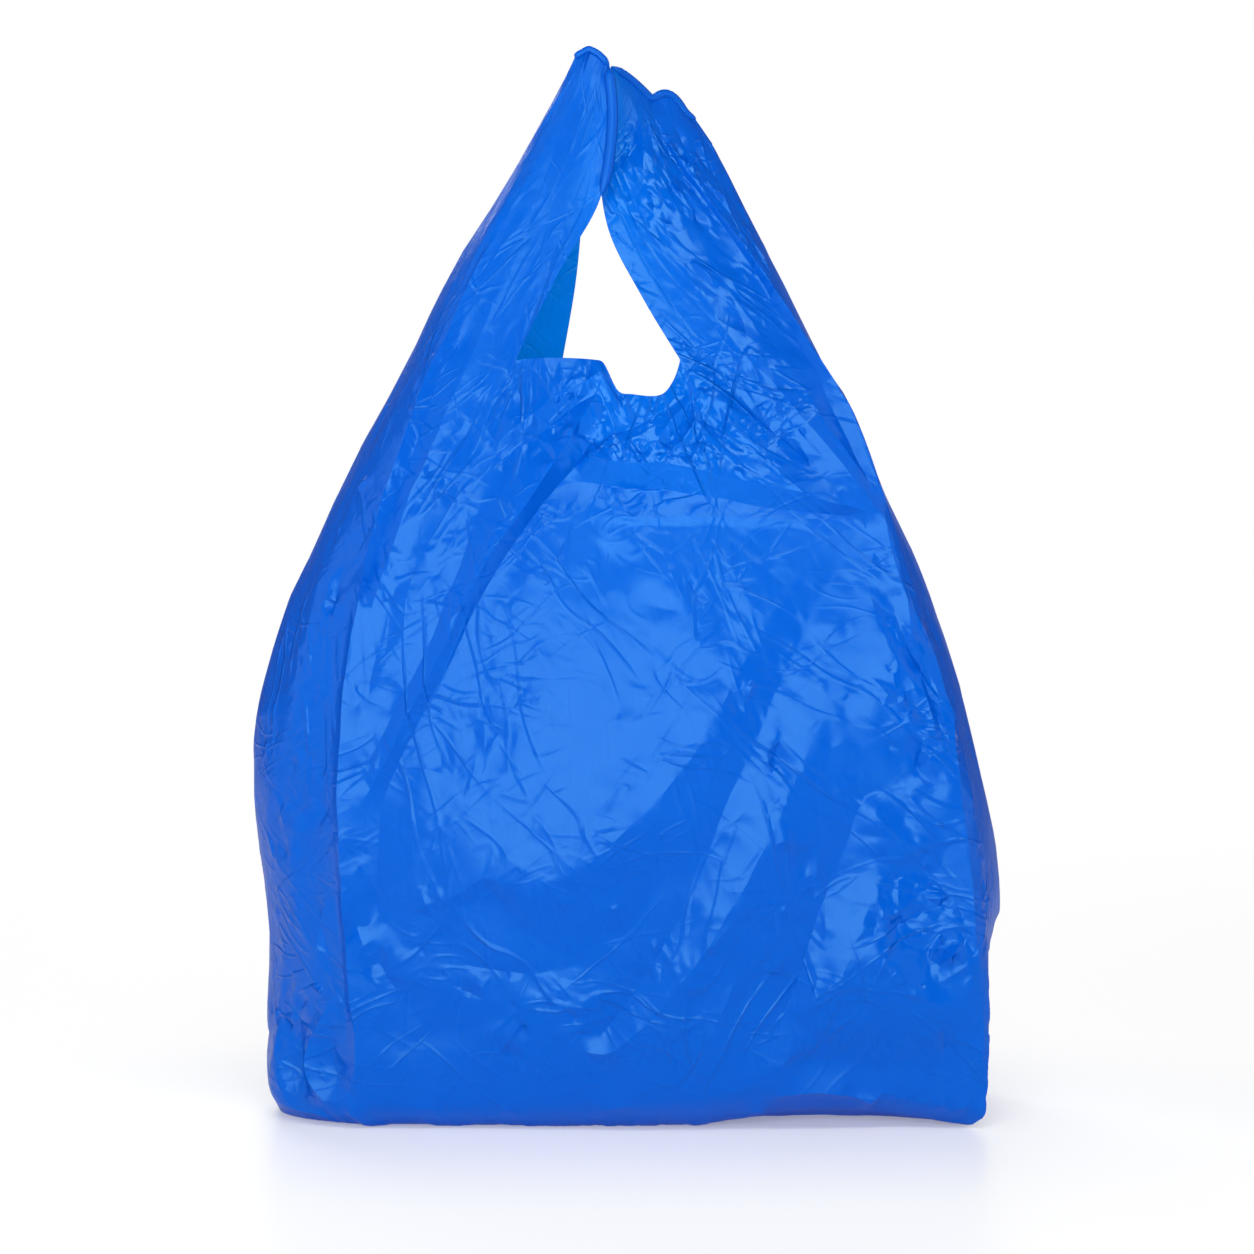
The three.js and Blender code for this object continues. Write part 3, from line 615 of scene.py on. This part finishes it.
# The back's creases are guesses, over the same pixels as seen through the bag
backCreases = {
    "drape from the left handle": [
        (612, 392, 4), (590, 440, 5), (545, 515, 5.5), (509, 580, 5.5), (450, 668, 5), (397, 746, 4),
        (365, 830, 2)],
    "hollow beside it": [(640, 455, -3), (590, 540, -4), (548, 610, -4), (500, 690, -3), (455, 770, -2)],
    "drape from the right handle": [
        (722, 380, 4), (745, 440, 5), (768, 500, 5.5), (790, 557, 5.5), (840, 645, 5), (893, 731, 4),
        (930, 810, 2)],
    "hollow beside that": [
        (700, 450, -3), (728, 530, -4), (760, 610, -4), (805, 690, -3), (860, 780, -2)],
    "roll under the rim": [(612, 420, 3), (668, 430, 4), (722, 420, 3)],
    "valley under the mouth": [(600, 500, -4), (669, 486, -6), (735, 500, -4)],
    "long ridge": [(477, 655, 2), (540, 757, 5), (605, 860, 5.6), (670, 950, 5), (733, 1035, 3)],
    "hollow over the ridge": [(600, 740, -2), (680, 850, -3), (770, 960, -2)],
    "hollow below the ridge": [(470, 760, -1), (530, 870, -2), (600, 970, -1)],
    "low fold": [(400, 950, 1), (480, 985, 3), (560, 1030, 2)],
    "right patch": [(800, 880, 1), (860, 850, 3), (915, 880, 2), (900, 960, 3), (840, 1000, 1)],
    "left strap fold": [(560, 130, 1), (520, 240, 2), (480, 340, 3), (440, 430, 3)],
    "left strap hollow": [(585, 150, -1), (550, 250, -1.5), (520, 330, -2), (490, 420, -2)],
    "right strap fold": [(670, 150, 1), (710, 250, 2), (750, 340, 3), (790, 430, 3)],
    "right strap hollow": [(640, 170, -1), (680, 270, -1.5), (715, 350, -2), (745, 430, -2)],
}

# How crumpled the film is over the photograph: middle and reach in pixels, then how much
calmCrumple = 0.38
crumpledPlaces = [
    (660, 180, 45, 70, 0.7), (700, 420, 110, 55, 0.9), (590, 425, 70, 40, 0.7), (300, 700, 60, 260, 0.3),
    (430, 500, 70, 160, 0.2), (920, 660, 50, 140, 0.6), (920, 930, 70, 80, 0.6), (300, 1060, 60, 80, 0.5),
    (740, 280, 40, 80, 0.4), (560, 1020, 60, 50, 0.3), (390, 940, 50, 40, 0.3), (560, 130, 60, 90, -0.15),
    (770, 720, 60, 130, 0.25), (640, 970, 170, 60, 0.22), (480, 800, 60, 110, 0.15),
]
relief = {
    "creaseStep": 20.0,  # pixels between the points of a crease
    "jump": 40.0,  # millimetres on the film between two such points, past which the crease is cut
    "pointGap": 0.5,  # millimetres on the film between two such points, at least
    "crossWithin": 0.05,  # millimetres from a line, where a crossing still lies on it
    "joinWithin": 1e-4,  # millimetres between corners that are one
    "above": 200.0,  # millimetres, higher than any crease
    "clearance": (2.6, 3.0),  # free beside a line: millimetres, or the pitch over the second number if less
    "folds": [  # small folds: millimetres apart, how steep, and the crumple over which they come in
        {"pitch": 20.0, "slope": 0.16, "where": (-1.0, 0.0)},
        {"pitch": 8.0, "slope": 0.4, "where": (0.15, 0.75)},
        {"pitch": 5.0, "slope": 0.46, "where": (0.5, 0.95)},
    ],
    "foldSpread": 0.6,  # radians off the run of the nearest crease
    "foldReach": (0.4, 1.6),  # half a fold's length, in pitches
    "foldGap": 0.4,  # millimetres between a fold and the nearest line
    "foldBend": 0.4,  # how far off the fold's middle its top is, at most
    "scatter": 0.45,  # of the folds, in pitches
    "unseenCrumple": 0.42,  # of the sides that the photograph doesn't show
    "calmBase": (62.0, 95.0),  # millimetres along the film over which the base's calm ends
    "calmWeld": (520.0, 540.0),  # and over which the weld's starts
    "weldWithin": 1e-3,  # millimetres from the film's end that count as the weld
    "rounding": 1,  # subdivisions of the facets
    "sharpFrom": math.radians(20.0),  # between two faces, where their shading parts
    "creaseCrisp": 0.9,  # of the edges once the facets are rounded, from 0 to 1
    "foldCrisp": 0.85,
    "jitter": (0.9, 0.06),  # of a crease's points: pixels, and share of the height
    "seen": (-0.1, 0.3),  # facing over which the photograph comes to say how crumpled the film is
    "edgeOn": (0.1, 0.6, 0.2),  # facing below which film seen edge-on gets calmer, and the crumple left
    "joinDigits": 2,  # of a millimetre, to which joined points of the crumpled film agree
    "seed": 11,
}
rimHeight = bag["standDepth"] / 2 + bag["mouthHeight"]
handleStrips = [(0.0, handleShare * bag["faceWidth"]),
                ((1 - handleShare) * bag["faceWidth"],
                 (1 + handleShare) * bag["faceWidth"] + bag["gussetWidth"]),
                (filmGirth - bag["gussetWidth"] - handleShare * bag["faceWidth"], filmGirth)]


def crumpleAt(pixels):
    amount = np.full(len(pixels), calmCrumple)
    for x, y, across, down, much in crumpledPlaces:
        amount += much * np.exp(-((pixels[:, 0] - x) / across) ** 2 - ((pixels[:, 1] - y) / down) ** 2)
    return np.clip(amount, 0, 1)


def crumpleOver(places):  # by the photograph where it shows the film
    points = overFilm(smoothPoints, places)
    normals = overFilm(smoothNormals, places)
    seen = smoothstep(-normals @ viewForward, *relief["seen"])
    amount = lerp(relief["unseenCrumple"], crumpleAt(photoPixels(points / metre)), seen)
    low, high, left = relief["edgeOn"]
    amount *= lerp(left, 1.0, smoothstep(abs(normals @ viewForward), low, high))
    calm = smoothstep(places[:, 1], *relief["calmBase"])
    calm *= 1 - smoothstep(places[:, 1], *relief["calmWeld"])
    return amount * calm


def facetSurface(corners, edges):  # flat facets between the given corners, with the given lines as edges
    flat = [Vector(corner[:2]) for corner in corners]
    net = delaunay_2d_cdt(flat, edges, [], 0, relief["joinWithin"])
    places, links, faces, origins, linkOrigins, _ = net
    known = np.array(corners, float)
    starts = known[[edge[0] for edge in edges]]
    ends = known[[edge[1] for edge in edges]]
    along = (ends - starts)[:, :2]
    spots = []
    for place, origin in zip(places, origins):
        height = known[origin[0], 2] if origin else 0.0
        if not origin:  # where lines cross, the mean of their heights
            t = ((np.array(place) - starts[:, :2]) * along).sum(axis=1) / (along * along).sum(axis=1)
            t = np.clip(t, 0, 1)
            aside = np.linalg.norm(starts[:, :2] + t[:, None] * along - np.array(place), axis=1)
            near = aside < relief["crossWithin"]
            height = float(lerp(starts[near, 2], ends[near, 2], t[near]).mean()) if near.any() else 0.0
        spots.append((place[0], place[1], height))
    sources = {tuple(sorted(link)): min(origin) for link, origin in zip(links, linkOrigins) if origin}
    return np.array(spots), faces, sources


def heightOver(spots, faces):
    tree = BVHTree.FromPolygons(spots.tolist(), faces)

    def heightAt(places):
        found = np.zeros(len(places))
        for i, (x, y) in enumerate(places):
            hit = tree.ray_cast(Vector((x, y, relief["above"])), Vector((0, 0, -1)))[0]
            if hit:
                found[i] = hit.z
        return found

    return heightAt


def aroundsBetween(low, high):
    return netArounds[(netArounds > low - tiny) & (netArounds < high + tiny)]


def patternLines():  # the film's edges and folds, through the points of the smooth net
    face, gusset = bag["faceWidth"], bag["gussetWidth"]
    lines = []
    for around in (0, face, face + gusset, 2 * face + gusset, filmGirth):
        lines.append([(around, height, 0.0) for height in netHeights])
    for height in (0.0, bag["standDepth"] / 2, bag["standDepth"] / 2 + bag["footRadius"]):
        lines.append([(around, height, 0.0) for around in netArounds])
    for low, high in handleStrips:
        lines.append([(around, netHeights[-1], 0.0) for around in aroundsBetween(low, high)])
        for edge in (low, high):
            lines.append([(edge, height, 0.0) for height in netHeights if height > rimHeight - tiny])
    for (_, low), (high, _) in zip(handleStrips[:-1], handleStrips[1:]):
        lines.append([(around, rimHeight, 0.0) for around in aroundsBetween(low, high)])
    return lines


def rayOfPhoto(x, y):
    middle = view["pixels"] / 2
    right = np.array([1.0, 0.0, 0.0])
    run = viewForward + ((x - middle) * right + (middle - y) * viewUp) / viewZoom
    return Vector(viewPlace), Vector(run).normalized()


def rayFromBehind(x, y):  # the same pixel, level from behind
    across = (x - view["pixels"] / 2) * view["pixelSize"] / metre
    up = (view["floorRow"] - y) * view["pixelSize"] / metre
    return Vector((across, view["fromBehind"], up)), Vector((0, -1, 0))


smoothTree = BVHTree.FromPolygons((smoothPoints / metre).tolist(), smoothFaces)


def flatPlace(ray):  # where a ray first meets the film, on the flat film
    spot, _, number, _ = smoothTree.ray_cast(*ray)
    if spot is None:
        return None
    corners = smoothPoints[smoothFaces[number]] / metre
    places = np.array(smoothPlaces[number])
    offset = np.array(spot) - corners[0]
    shares = []
    for corner in (1, 3):
        side = corners[corner] - corners[0]
        shares.append(np.clip(offset @ side / (side @ side), 0, 1))
    return lerp(places[0], places[2], np.array(shares))


def flatKey(place):
    return tuple(round(value, bag["joinDigits"]) for value in place)


def flatCreases(creases, ray):  # creases drawn over a view, laid on the flat film
    lines = []
    draw = random.Random(relief["seed"])
    shake, unevenness = relief["jitter"]
    for line in creases.values():
        run = []
        for start, end in zip(line[:-1], line[1:]):
            steps = max(1, round(math.dist(start[:2], end[:2]) / relief["creaseStep"]))
            last = steps + 1 if end is line[-1] else steps
            for step in range(last):
                x, y, height = lerp(np.array(start, float), np.array(end, float), step / steps)
                height *= 1 + draw.gauss(0, unevenness)
                if step > 0:
                    x += draw.gauss(0, shake)
                    y += draw.gauss(0, shake)
                place = flatPlace(ray(x, y))
                if place is None or (run and math.dist(run[-1][:2], place) > relief["jump"]):
                    lines.append(run)
                    run = []
                if place is not None and not (run and math.dist(run[-1][:2], place) < relief["pointGap"]):
                    height *= 1 - smoothstep(place[1], *relief["calmWeld"])
                    run.append((*flatKey(place), height))
        lines.append(run)
    return [line for line in lines if len(line) > 1]


def lineNet(lines):
    corners, edges, numbers = [], [], {}
    for line in lines:
        chain = []
        for x, y, height in line:
            key = flatKey((x, y))
            if key not in numbers:
                numbers[key] = len(corners)
                corners.append((*key, height))
            chain.append(numbers[key])
        edges += [edge for edge in zip(chain[:-1], chain[1:]) if edge[0] != edge[1]]
    return corners, edges


def onFilm(place):
    if place[1] < rimHeight:
        return True
    return any(low < place[0] < high for low, high in handleStrips)


def scatter(pitch, draw):  # a loose net of places over the flat film
    loose = relief["scatter"]
    places = []
    for row in range(int(bag["flatLength"] / pitch)):
        for column in range(int(filmGirth / pitch)):
            across = (column + 0.5 + draw.uniform(-loose, loose)) * pitch
            up = (row + 0.5 + draw.uniform(-loose, loose)) * pitch
            if onFilm((across, up)):
                places.append((across, up))
    return np.array(places)


def nearestLine(places, corners, edges):  # distance to it and the way it runs
    nearest = np.full(len(places), np.inf)
    angles = np.zeros(len(places))
    for start, end in edges:
        run = np.array(corners[end][:2]) - np.array(corners[start][:2])
        offset = places - np.array(corners[start][:2])
        t = np.clip(offset @ run / (run @ run), 0, 1)
        away = np.linalg.norm(offset - t[:, None] * run, axis=1)
        closer = away < nearest
        nearest[closer] = away[closer]
        angles[closer] = math.atan2(run[1], run[0])
    return nearest, angles


def addFolds(corners, edges, fold, draw):  # short folds along the pull of the film
    heightAt = heightOver(*facetSurface(corners, edges)[:2])
    places = scatter(fold["pitch"], draw)
    crumples = crumpleOver(places)
    wanted = [draw.random() < chance for chance in smoothstep(crumples, *fold["where"])]
    places, crumples = places[wanted], crumples[wanted]
    nearest, angles = nearestLine(places, corners, edges)
    most, parts = relief["clearance"]
    clearance = min(most, fold["pitch"] / parts)
    spots, rises = [], []
    for place, away, angle, crumple in zip(places, nearest, angles, crumples):
        turn = angle + draw.gauss(0, relief["foldSpread"])
        reach = min(fold["pitch"] * draw.uniform(*relief["foldReach"]), away - relief["foldGap"])
        bend = draw.uniform(-relief["foldBend"], relief["foldBend"])
        rise = draw.gauss(0, 1) * fold["slope"] * crumple * reach
        if away > clearance:
            run = reach * np.array([math.cos(turn), math.sin(turn)])
            spots += [place - run, place + bend * run, place + run]
            rises += [0.0, rise, 0.0]
    heights = heightAt(spots) + np.array(rises)
    first = len(corners)
    corners = corners + [(*spot, height) for spot, height in zip(spots, heights)]
    for k in range(first, len(corners), 3):
        edges = edges + [(k, k + 1), (k + 1, k + 2)]
    return corners, edges


def crumpledFilm():  # facets on the flat film, and how crisp the edges between them are
    pattern = patternLines()
    lines = pattern + flatCreases(frontCreases, rayOfPhoto) + flatCreases(backCreases, rayFromBehind)
    corners, edges = lineNet(lines)
    creaseStart, foldStart = len(lineNet(pattern)[1]), len(edges)
    draw = random.Random(relief["seed"])
    for fold in relief["folds"]:
        corners, edges = addFolds(corners, edges, fold, draw)
    spots, faces, sources = facetSurface(corners, edges)
    crisp = {}
    for link, source in sources.items():
        if spots[list(link), 1].min() > netHeights[-1] - relief["weldWithin"]:
            crisp[link] = 1.0  # along a weld
        elif source >= creaseStart:
            crisp[link] = relief["creaseCrisp"] if source < foldStart else relief["foldCrisp"]
    middles = [spots[face].mean(axis=0) for face in faces]
    return spots, [face for face, middle in zip(faces, middles) if onFilm(middle)], crisp


filmSpots, filmFaces, filmCrisp = crumpledFilm()
print("crumpled film", len(filmSpots), "points", len(filmFaces), "facets")


def filmMesh(name):  # joins the seal, the handles' welds and the pattern's seam
    flat = filmSpots[:, :2]
    points = overFilm(smoothPoints, flat) + overFilm(smoothNormals, flat) * filmSpots[:, 2:]
    points[:, 2] = np.maximum(points[:, 2], bag["thickness"] / 2)
    firsts, numbers = joined(points, relief["joinDigits"])
    faces, spots = [], []
    for face in filmFaces:
        corners = numbers[face].tolist()
        if len(set(corners)) == 3:
            faces.append(corners)
            spots += [flat[k] for k in face]
    mesh = bpy.data.meshes.new(name)
    mesh.from_pydata((points[firsts] / metre).tolist(), [], faces)
    layer = mesh.uv_layers.new(name="flatFilm")
    layer.data.foreach_set("uv", (np.array(spots, np.float32) / metre).ravel())
    attribute = mesh.attributes.new("crumple", "FLOAT", "POINT")
    attribute.data.foreach_set("value", crumpleOver(flat)[firsts].astype(np.float32))
    mesh.polygons.foreach_set("use_smooth", [True] * len(mesh.polygons))
    mesh.update()
    crispEdges = {tuple(sorted(numbers[list(link)])): much for link, much in filmCrisp.items()}
    weights = [crispEdges.get(tuple(sorted(edge.vertices)), 0.0) for edge in mesh.edges]
    mesh.attributes.new("crease_edge", "FLOAT", "EDGE").data.foreach_set("value", weights)
    return mesh


def softened(mesh):  # rounds the facets' edges as the film does
    maker = bpy.data.objects.new("softener", mesh)
    scene.collection.objects.link(maker)
    rounding = maker.modifiers.new("rounding", "SUBSURF")
    rounding.levels = rounding.render_levels = relief["rounding"]
    rounding.boundary_smooth = "PRESERVE_CORNERS"
    graph = bpy.context.evaluated_depsgraph_get()
    rounded = bpy.data.meshes.new_from_object(maker.evaluated_get(graph))
    bpy.data.objects.remove(maker)
    rounded.set_sharp_from_angle(angle=relief["sharpFrom"])
    return rounded


# Rolled edges of the handles: along a weld by panel and shares across it, or down an edge by share and rises
rolls = {
    "left hem": {"run": [("left", 0.5, 0.0), ("front", 0.0, handleShare)], "radius": 1.8},
    "right hem": {"run": [("front", 1 - handleShare, 1.0), ("right", 0.0, 0.5)], "radius": 2.2},
    "left pleat": {"edge": ("front", handleShare, 1.0, 0.5), "radius": 2.6},
}
rollSides = 10
rollTaper = 0.12  # share of a roll's length over which an end narrows
rollTip = 0.01  # share of a roll's section that is left at its ends
rollPasses = 3  # of smoothing, for its line


def weldLine(run):  # the points of a handle's weld, in the order of the run
    columns = filmColumns()
    line = []
    for panel, start, end in run:
        low, high = sorted((start, end))
        picked = [(across, i) for i, (name, across, _) in enumerate(columns)
                  if name == panel and low - tiny <= across <= high + tiny]
        line += [smoothPoints[netNumbers[i, -1]] for _, i in sorted(picked, reverse=start > end)]
    return np.array(line)


def edgeLine(panel, share, start, end):  # down a handle's edge, between two rises
    number = [i for i, (name, across, _) in enumerate(filmColumns())
              if name == panel and abs(across - share) < tiny][0]
    count = bag["rows"]["handle"]
    rows = [row - count - 1 for row in range(round(end * count), round(start * count) + 1)]
    return smoothPoints[netNumbers[number, rows[::-1]]]


def unitRows(rows):
    return rows / (np.linalg.norm(rows, axis=1)[:, None] + tiny)


def rollMesh(roll):  # a tube along its line, narrowing at its ends
    line = weldLine(roll["run"]) if "run" in roll else edgeLine(*roll["edge"])
    for _ in range(rollPasses):
        line[1:-1] = (line[:-2] + 2 * line[1:-1] + line[2:]) / 4
    ways = unitRows(np.gradient(line, axis=0))
    forward = np.array([0.0, -1.0, 0.0])
    across = unitRows(np.cross(ways, forward))
    away = np.cross(across, ways)
    t = np.linspace(0, 1, len(line))
    radii = roll["radius"] * np.sqrt(np.clip(np.minimum(t, 1 - t) / rollTaper, rollTip, 1))
    angles = np.arange(rollSides) / rollSides * 2 * math.pi
    rings = [line + radii[:, None] * (math.cos(a) * across + math.sin(a) * away) for a in angles]
    points = np.stack(rings, axis=1).reshape(-1, 3)
    faces = []
    for i in range(len(line) - 1):
        for side in range(rollSides):
            after = (side + 1) % rollSides
            faces.append((i * rollSides + side, i * rollSides + after,
                          (i + 1) * rollSides + after, (i + 1) * rollSides + side))
    return points, faces


def addRolls(mesh):
    edited = bmesh.new()
    edited.from_mesh(mesh)
    for roll in rolls.values():
        points, faces = rollMesh(roll)
        corners = [edited.verts.new(point / metre) for point in points]
        for face in faces:
            edited.faces.new([corners[k] for k in face]).smooth = True
    edited.to_mesh(mesh)
    edited.free()
    return mesh


bagObject = bpy.data.objects.new("bagFilm", addRolls(softened(filmMesh("bagFilm"))))
scene.collection.objects.link(bagObject)
print("film mesh", len(bagObject.data.vertices), "points", len(bagObject.data.polygons), "faces")


# Shader maths
class Wire:  # a socket that takes part in sums
    def __init__(self, finish, socket):
        self.finish = finish
        self.socket = socket

    def maths(self, operation, *values):
        return self.finish.node("Math", {"operation": operation}, *values)["Value"]

    def __add__(self, other):
        return self.maths("ADD", self, other)

    def __radd__(self, other):
        return self.maths("ADD", other, self)

    def __sub__(self, other):
        return self.maths("SUBTRACT", self, other)

    def __rsub__(self, other):
        return self.maths("SUBTRACT", other, self)

    def __mul__(self, other):
        return self.maths("MULTIPLY", self, other)

    def __rmul__(self, other):
        return self.maths("MULTIPLY", other, self)

    def size(self):
        return self.maths("ABSOLUTE", self)

    def atLeast(self, floor):
        return self.maths("MAXIMUM", self, floor)


class Finish:  # the node tree of a material or of the world
    def __init__(self, holder):
        holder.use_nodes = True
        self.tree = holder.node_tree
        self.tree.nodes.clear()

    def node(self, kind, settings=None, *values, **named):
        made = self.tree.nodes.new("ShaderNode" + kind)
        for name, value in (settings or {}).items():
            setattr(made, name, value)
        sockets = [socket for socket in made.inputs if socket.enabled]
        byName = {socket.name.replace(" ", "_"): socket for socket in reversed(sockets)}
        for key, value in [*enumerate(values), *named.items()]:
            socket = sockets[key] if isinstance(key, int) else byName[key]
            if isinstance(value, Wire):
                self.tree.links.new(value.socket, socket)
            else:
                socket.default_value = value
        return {output.name: Wire(self, output) for output in made.outputs if output.enabled}

    def noise(self, place, scale, detail, distortion=0.0, kind="FBM"):
        settings = {"noise_dimensions": "2D", "noise_type": kind}
        return self.node("TexNoise", settings, Vector=place, Scale=scale, Detail=detail,
                         Distortion=distortion)["Fac"]

    def eased(self, value, span, low, high):
        settings = {"interpolation_type": "SMOOTHSTEP"}
        return self.node("MapRange", settings, value, *span, low, high)["Result"]


filmFinish = {
    "deepBlue": (0.0, 0.088, 0.49, 1.0),
    "paleBlue": (0.0, 0.099, 0.525, 1.0),
    "roughness": (0.14, 0.38),  # where the film is crumpled and where it is smooth
    "dulled": {"much": 0.1, "scale": 60.0, "detail": 3.0, "stretch": 0.18},  # streaks in the roughness
    "blotches": (14.0, 4.0),  # of the two blues: to a metre of film, and detail
    "specular": 1.0,
    "specularTint": (0.12, 0.35, 0.4, 1.0),
    "translucent": 0.4,
    "translucentBlue": (0.0, 0.25, 0.73, 1.0),
    "wrinkles": {"scale": 70.0, "detail": 2.0, "distortion": 0.8, "depth": 0.0004},  # depth in metres
    "fineCreases": [  # turn, stretch, waves to a metre, depth in metres
        (0.2, 5.0, 90.0, 0.0003), (-0.6, 4.0, 90.0, 0.00026), (0.85, 4.0, 100.0, 0.00026),
        (1.4, 3.0, 120.0, 0.0002), (-1.1, 4.0, 140.0, 0.00016),
    ],
    "patches": {"waves": 3.0, "detail": 1.0, "bare": 0.53, "steep": 12.0},  # which carry the fine creases
    "thinness": 12.0,  # of a fine crease, beside the wave that carries it
    "calmShare": 0.24,  # of the wrinkles and fine creases that is left where the film isn't crumpled
}


def fineCrease(finish, place, turn, stretch, scale, depth):  # a thin line where a wave is halfway up
    laid = finish.node("Mapping", {"vector_type": "TEXTURE"}, place, Rotation=(0.0, 0.0, turn),
                       Scale=(1.0, stretch, 1.0))["Vector"]
    wave = finish.noise(laid, scale, 0.0)
    line = (1.0 - (wave - 0.5).size() * filmFinish["thinness"]).atLeast(0.0)
    patches = filmFinish["patches"]
    patch = finish.noise(laid, scale / patches["waves"], patches["detail"])
    return line * depth * ((patch - patches["bare"]) * patches["steep"]).atLeast(0.0)


def filmHeight(finish, place, crumple):
    wrinkles = filmFinish["wrinkles"]
    ridges = finish.noise(place, wrinkles["scale"], wrinkles["detail"], wrinkles["distortion"],
                          "RIDGED_MULTIFRACTAL")
    height = ridges * wrinkles["depth"]
    for crease in filmFinish["fineCreases"]:
        height = height + fineCrease(finish, place, *crease)
    share = filmFinish["calmShare"]
    return (share + crumple * (1.0 - share)) * height


def filmRoughness(finish, place, crumple):
    dulled = filmFinish["dulled"]
    laid = finish.node("Mapping", None, place, Scale=(1.0, dulled["stretch"], 1.0))["Vector"]
    streaks = finish.noise(laid, dulled["scale"], dulled["detail"])
    low, high = filmFinish["roughness"]
    return high - crumple * (high - low) + (streaks - 0.5) * dulled["much"]


def blueFilm():
    material = bpy.data.materials.new("blueFilm")
    finish = Finish(material)
    place = finish.node("UVMap", {"uv_map": "flatFilm"})["UV"]
    crumple = finish.node("Attribute", {"attribute_name": "crumple"})["Fac"]
    height = filmHeight(finish, place, crumple)
    bump = finish.node("Bump", None, Strength=1.0, Distance=1.0, Height=height)["Normal"]
    blotches = finish.noise(place, *filmFinish["blotches"])
    colour = finish.node("Mix", {"data_type": "RGBA"}, blotches, filmFinish["deepBlue"],
                         filmFinish["paleBlue"])["Result"]
    film = finish.node("BsdfPrincipled", None, Base_Color=colour,
                       Roughness=filmRoughness(finish, place, crumple),
                       Specular_IOR_Level=filmFinish["specular"],
                       Specular_Tint=filmFinish["specularTint"], Normal=bump)["BSDF"]
    glow = finish.node("BsdfTranslucent", None, Color=filmFinish["translucentBlue"], Normal=bump)["BSDF"]
    mixed = finish.node("MixShader", None, filmFinish["translucent"], film, glow)["Shader"]
    finish.node("OutputMaterial", None, Surface=mixed)
    return material


bagObject.data.materials.append(blueFilm())

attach(bagObject, "root")
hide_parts("bag")
print("bag finished")

# Floor, lamps and world
studio = {
    "white": (1.0, 1.0, 1.0, 1.0),
    "floorColour": (0.9, 0.9, 0.9, 1.0),
    "floorReach": 12.0,
    "floorGloss": 0.3,
    "floorGlow": (0.25, 0.72, 1.0),  # share of plain white in the floor under the bag, near it and far off
    "floorMirrored": 0.15,  # how much of the plain white reflections show
    "clearFrom": ((0.08, 0.24), (0.3, 1.3)),  # metres over which it turns whiter, near the bag and far off
    "clearWide": (0.4, 1.0, 1.0),  # shape of the duller floor, which is wider than it is deep
    "worldLight": 0.12,
    "behind": (0.93, 0.995),  # how far towards +Y a ray looks, from the dim room to the white backdrop
    "lamps": {
        "front": {"place": (-0.25, -1.85, 0.53), "size": (1.9, 1.0), "energy": 43.0},
        "left": {"place": (-1.6, -0.5, 0.85), "size": (2.0, 1.6), "energy": 11.0},
        "right": {"place": (1.6, -0.5, 0.85), "size": (2.0, 1.6), "energy": 11.0},
        "high": {"place": (0.25, -1.2, 1.85), "size": (1.4, 0.5), "energy": 20.0},
        "back": {"place": (-0.3, 1.7, 1.5), "size": (1.6, 1.0), "energy": 34.0},
    },
    "lampAim": (0.0, 0.0, 0.25),
}


def seenWhite(finish, mirrored):  # rays that show the background, and how much of it reflections show
    path = finish.node("LightPath")
    plain = path["Is Camera Ray"] + (path["Is Glossy Ray"] + path["Is Transmission Ray"]) * mirrored
    return finish.node("Clamp", None, plain)["Result"]


def addFloor():
    mesh = bpy.data.meshes.new("floor")
    reach = studio["floorReach"]
    corners = [(-reach, -reach, 0), (reach, -reach, 0), (reach, reach, 0), (-reach, reach, 0)]
    mesh.from_pydata(corners, [], [(0, 1, 2, 3)])
    floor = bpy.data.objects.new("floor", mesh)
    scene.collection.objects.link(floor)
    material = bpy.data.materials.new("floorWhite")
    finish = Finish(material)
    spot = finish.node("TexCoord")["Object"]
    flat = finish.node("VectorMath", {"operation": "MULTIPLY"}, spot, studio["clearWide"])["Vector"]
    away = finish.node("VectorMath", {"operation": "LENGTH"}, flat)["Value"]
    under, near, distant = studio["floorGlow"]
    closeBy, farOff = studio["clearFrom"]
    clear = finish.eased(away, closeBy, under, near) + finish.eased(away, farOff, 0.0, distant - near)
    lit = finish.node("BsdfPrincipled", None, Base_Color=studio["floorColour"],
                      Roughness=studio["floorGloss"])["BSDF"]
    white = finish.node("Emission", None, studio["white"], 1.0)["Emission"]
    share = clear * seenWhite(finish, studio["floorMirrored"])
    mixed = finish.node("MixShader", None, share, lit, white)["Shader"]
    finish.node("OutputMaterial", None, Surface=mixed)
    mesh.materials.append(material)


def addLamps():
    for name, lamp in studio["lamps"].items():
        data = bpy.data.lights.new(name, "AREA")
        data.shape = "RECTANGLE"
        data.size, data.size_y = lamp["size"]
        data.energy = lamp["energy"]
        holder = bpy.data.objects.new(name, data)
        holder.location = lamp["place"]
        aim = Vector(studio["lampAim"]) - holder.location
        holder.rotation_euler = aim.to_track_quat("-Z", "Y").to_euler()
        scene.collection.objects.link(holder)


def addWorld():
    world = bpy.data.worlds.new("studio")
    finish = Finish(world)
    way = finish.node("TexCoord")["Generated"]
    towardBackdrop = finish.node("SeparateXYZ", None, way)["Y"]
    behind = finish.eased(towardBackdrop, studio["behind"], 0.0, 1.0)
    strength = studio["worldLight"] + seenWhite(finish, behind) * (1.0 - studio["worldLight"])
    white = finish.node("Background", None, studio["white"], strength)["Background"]
    finish.node("OutputWorld", None, Surface=white)
    scene.world = world


addFloor()
addLamps()
addWorld()
scene.view_settings.view_transform = "Standard"
print("studio")
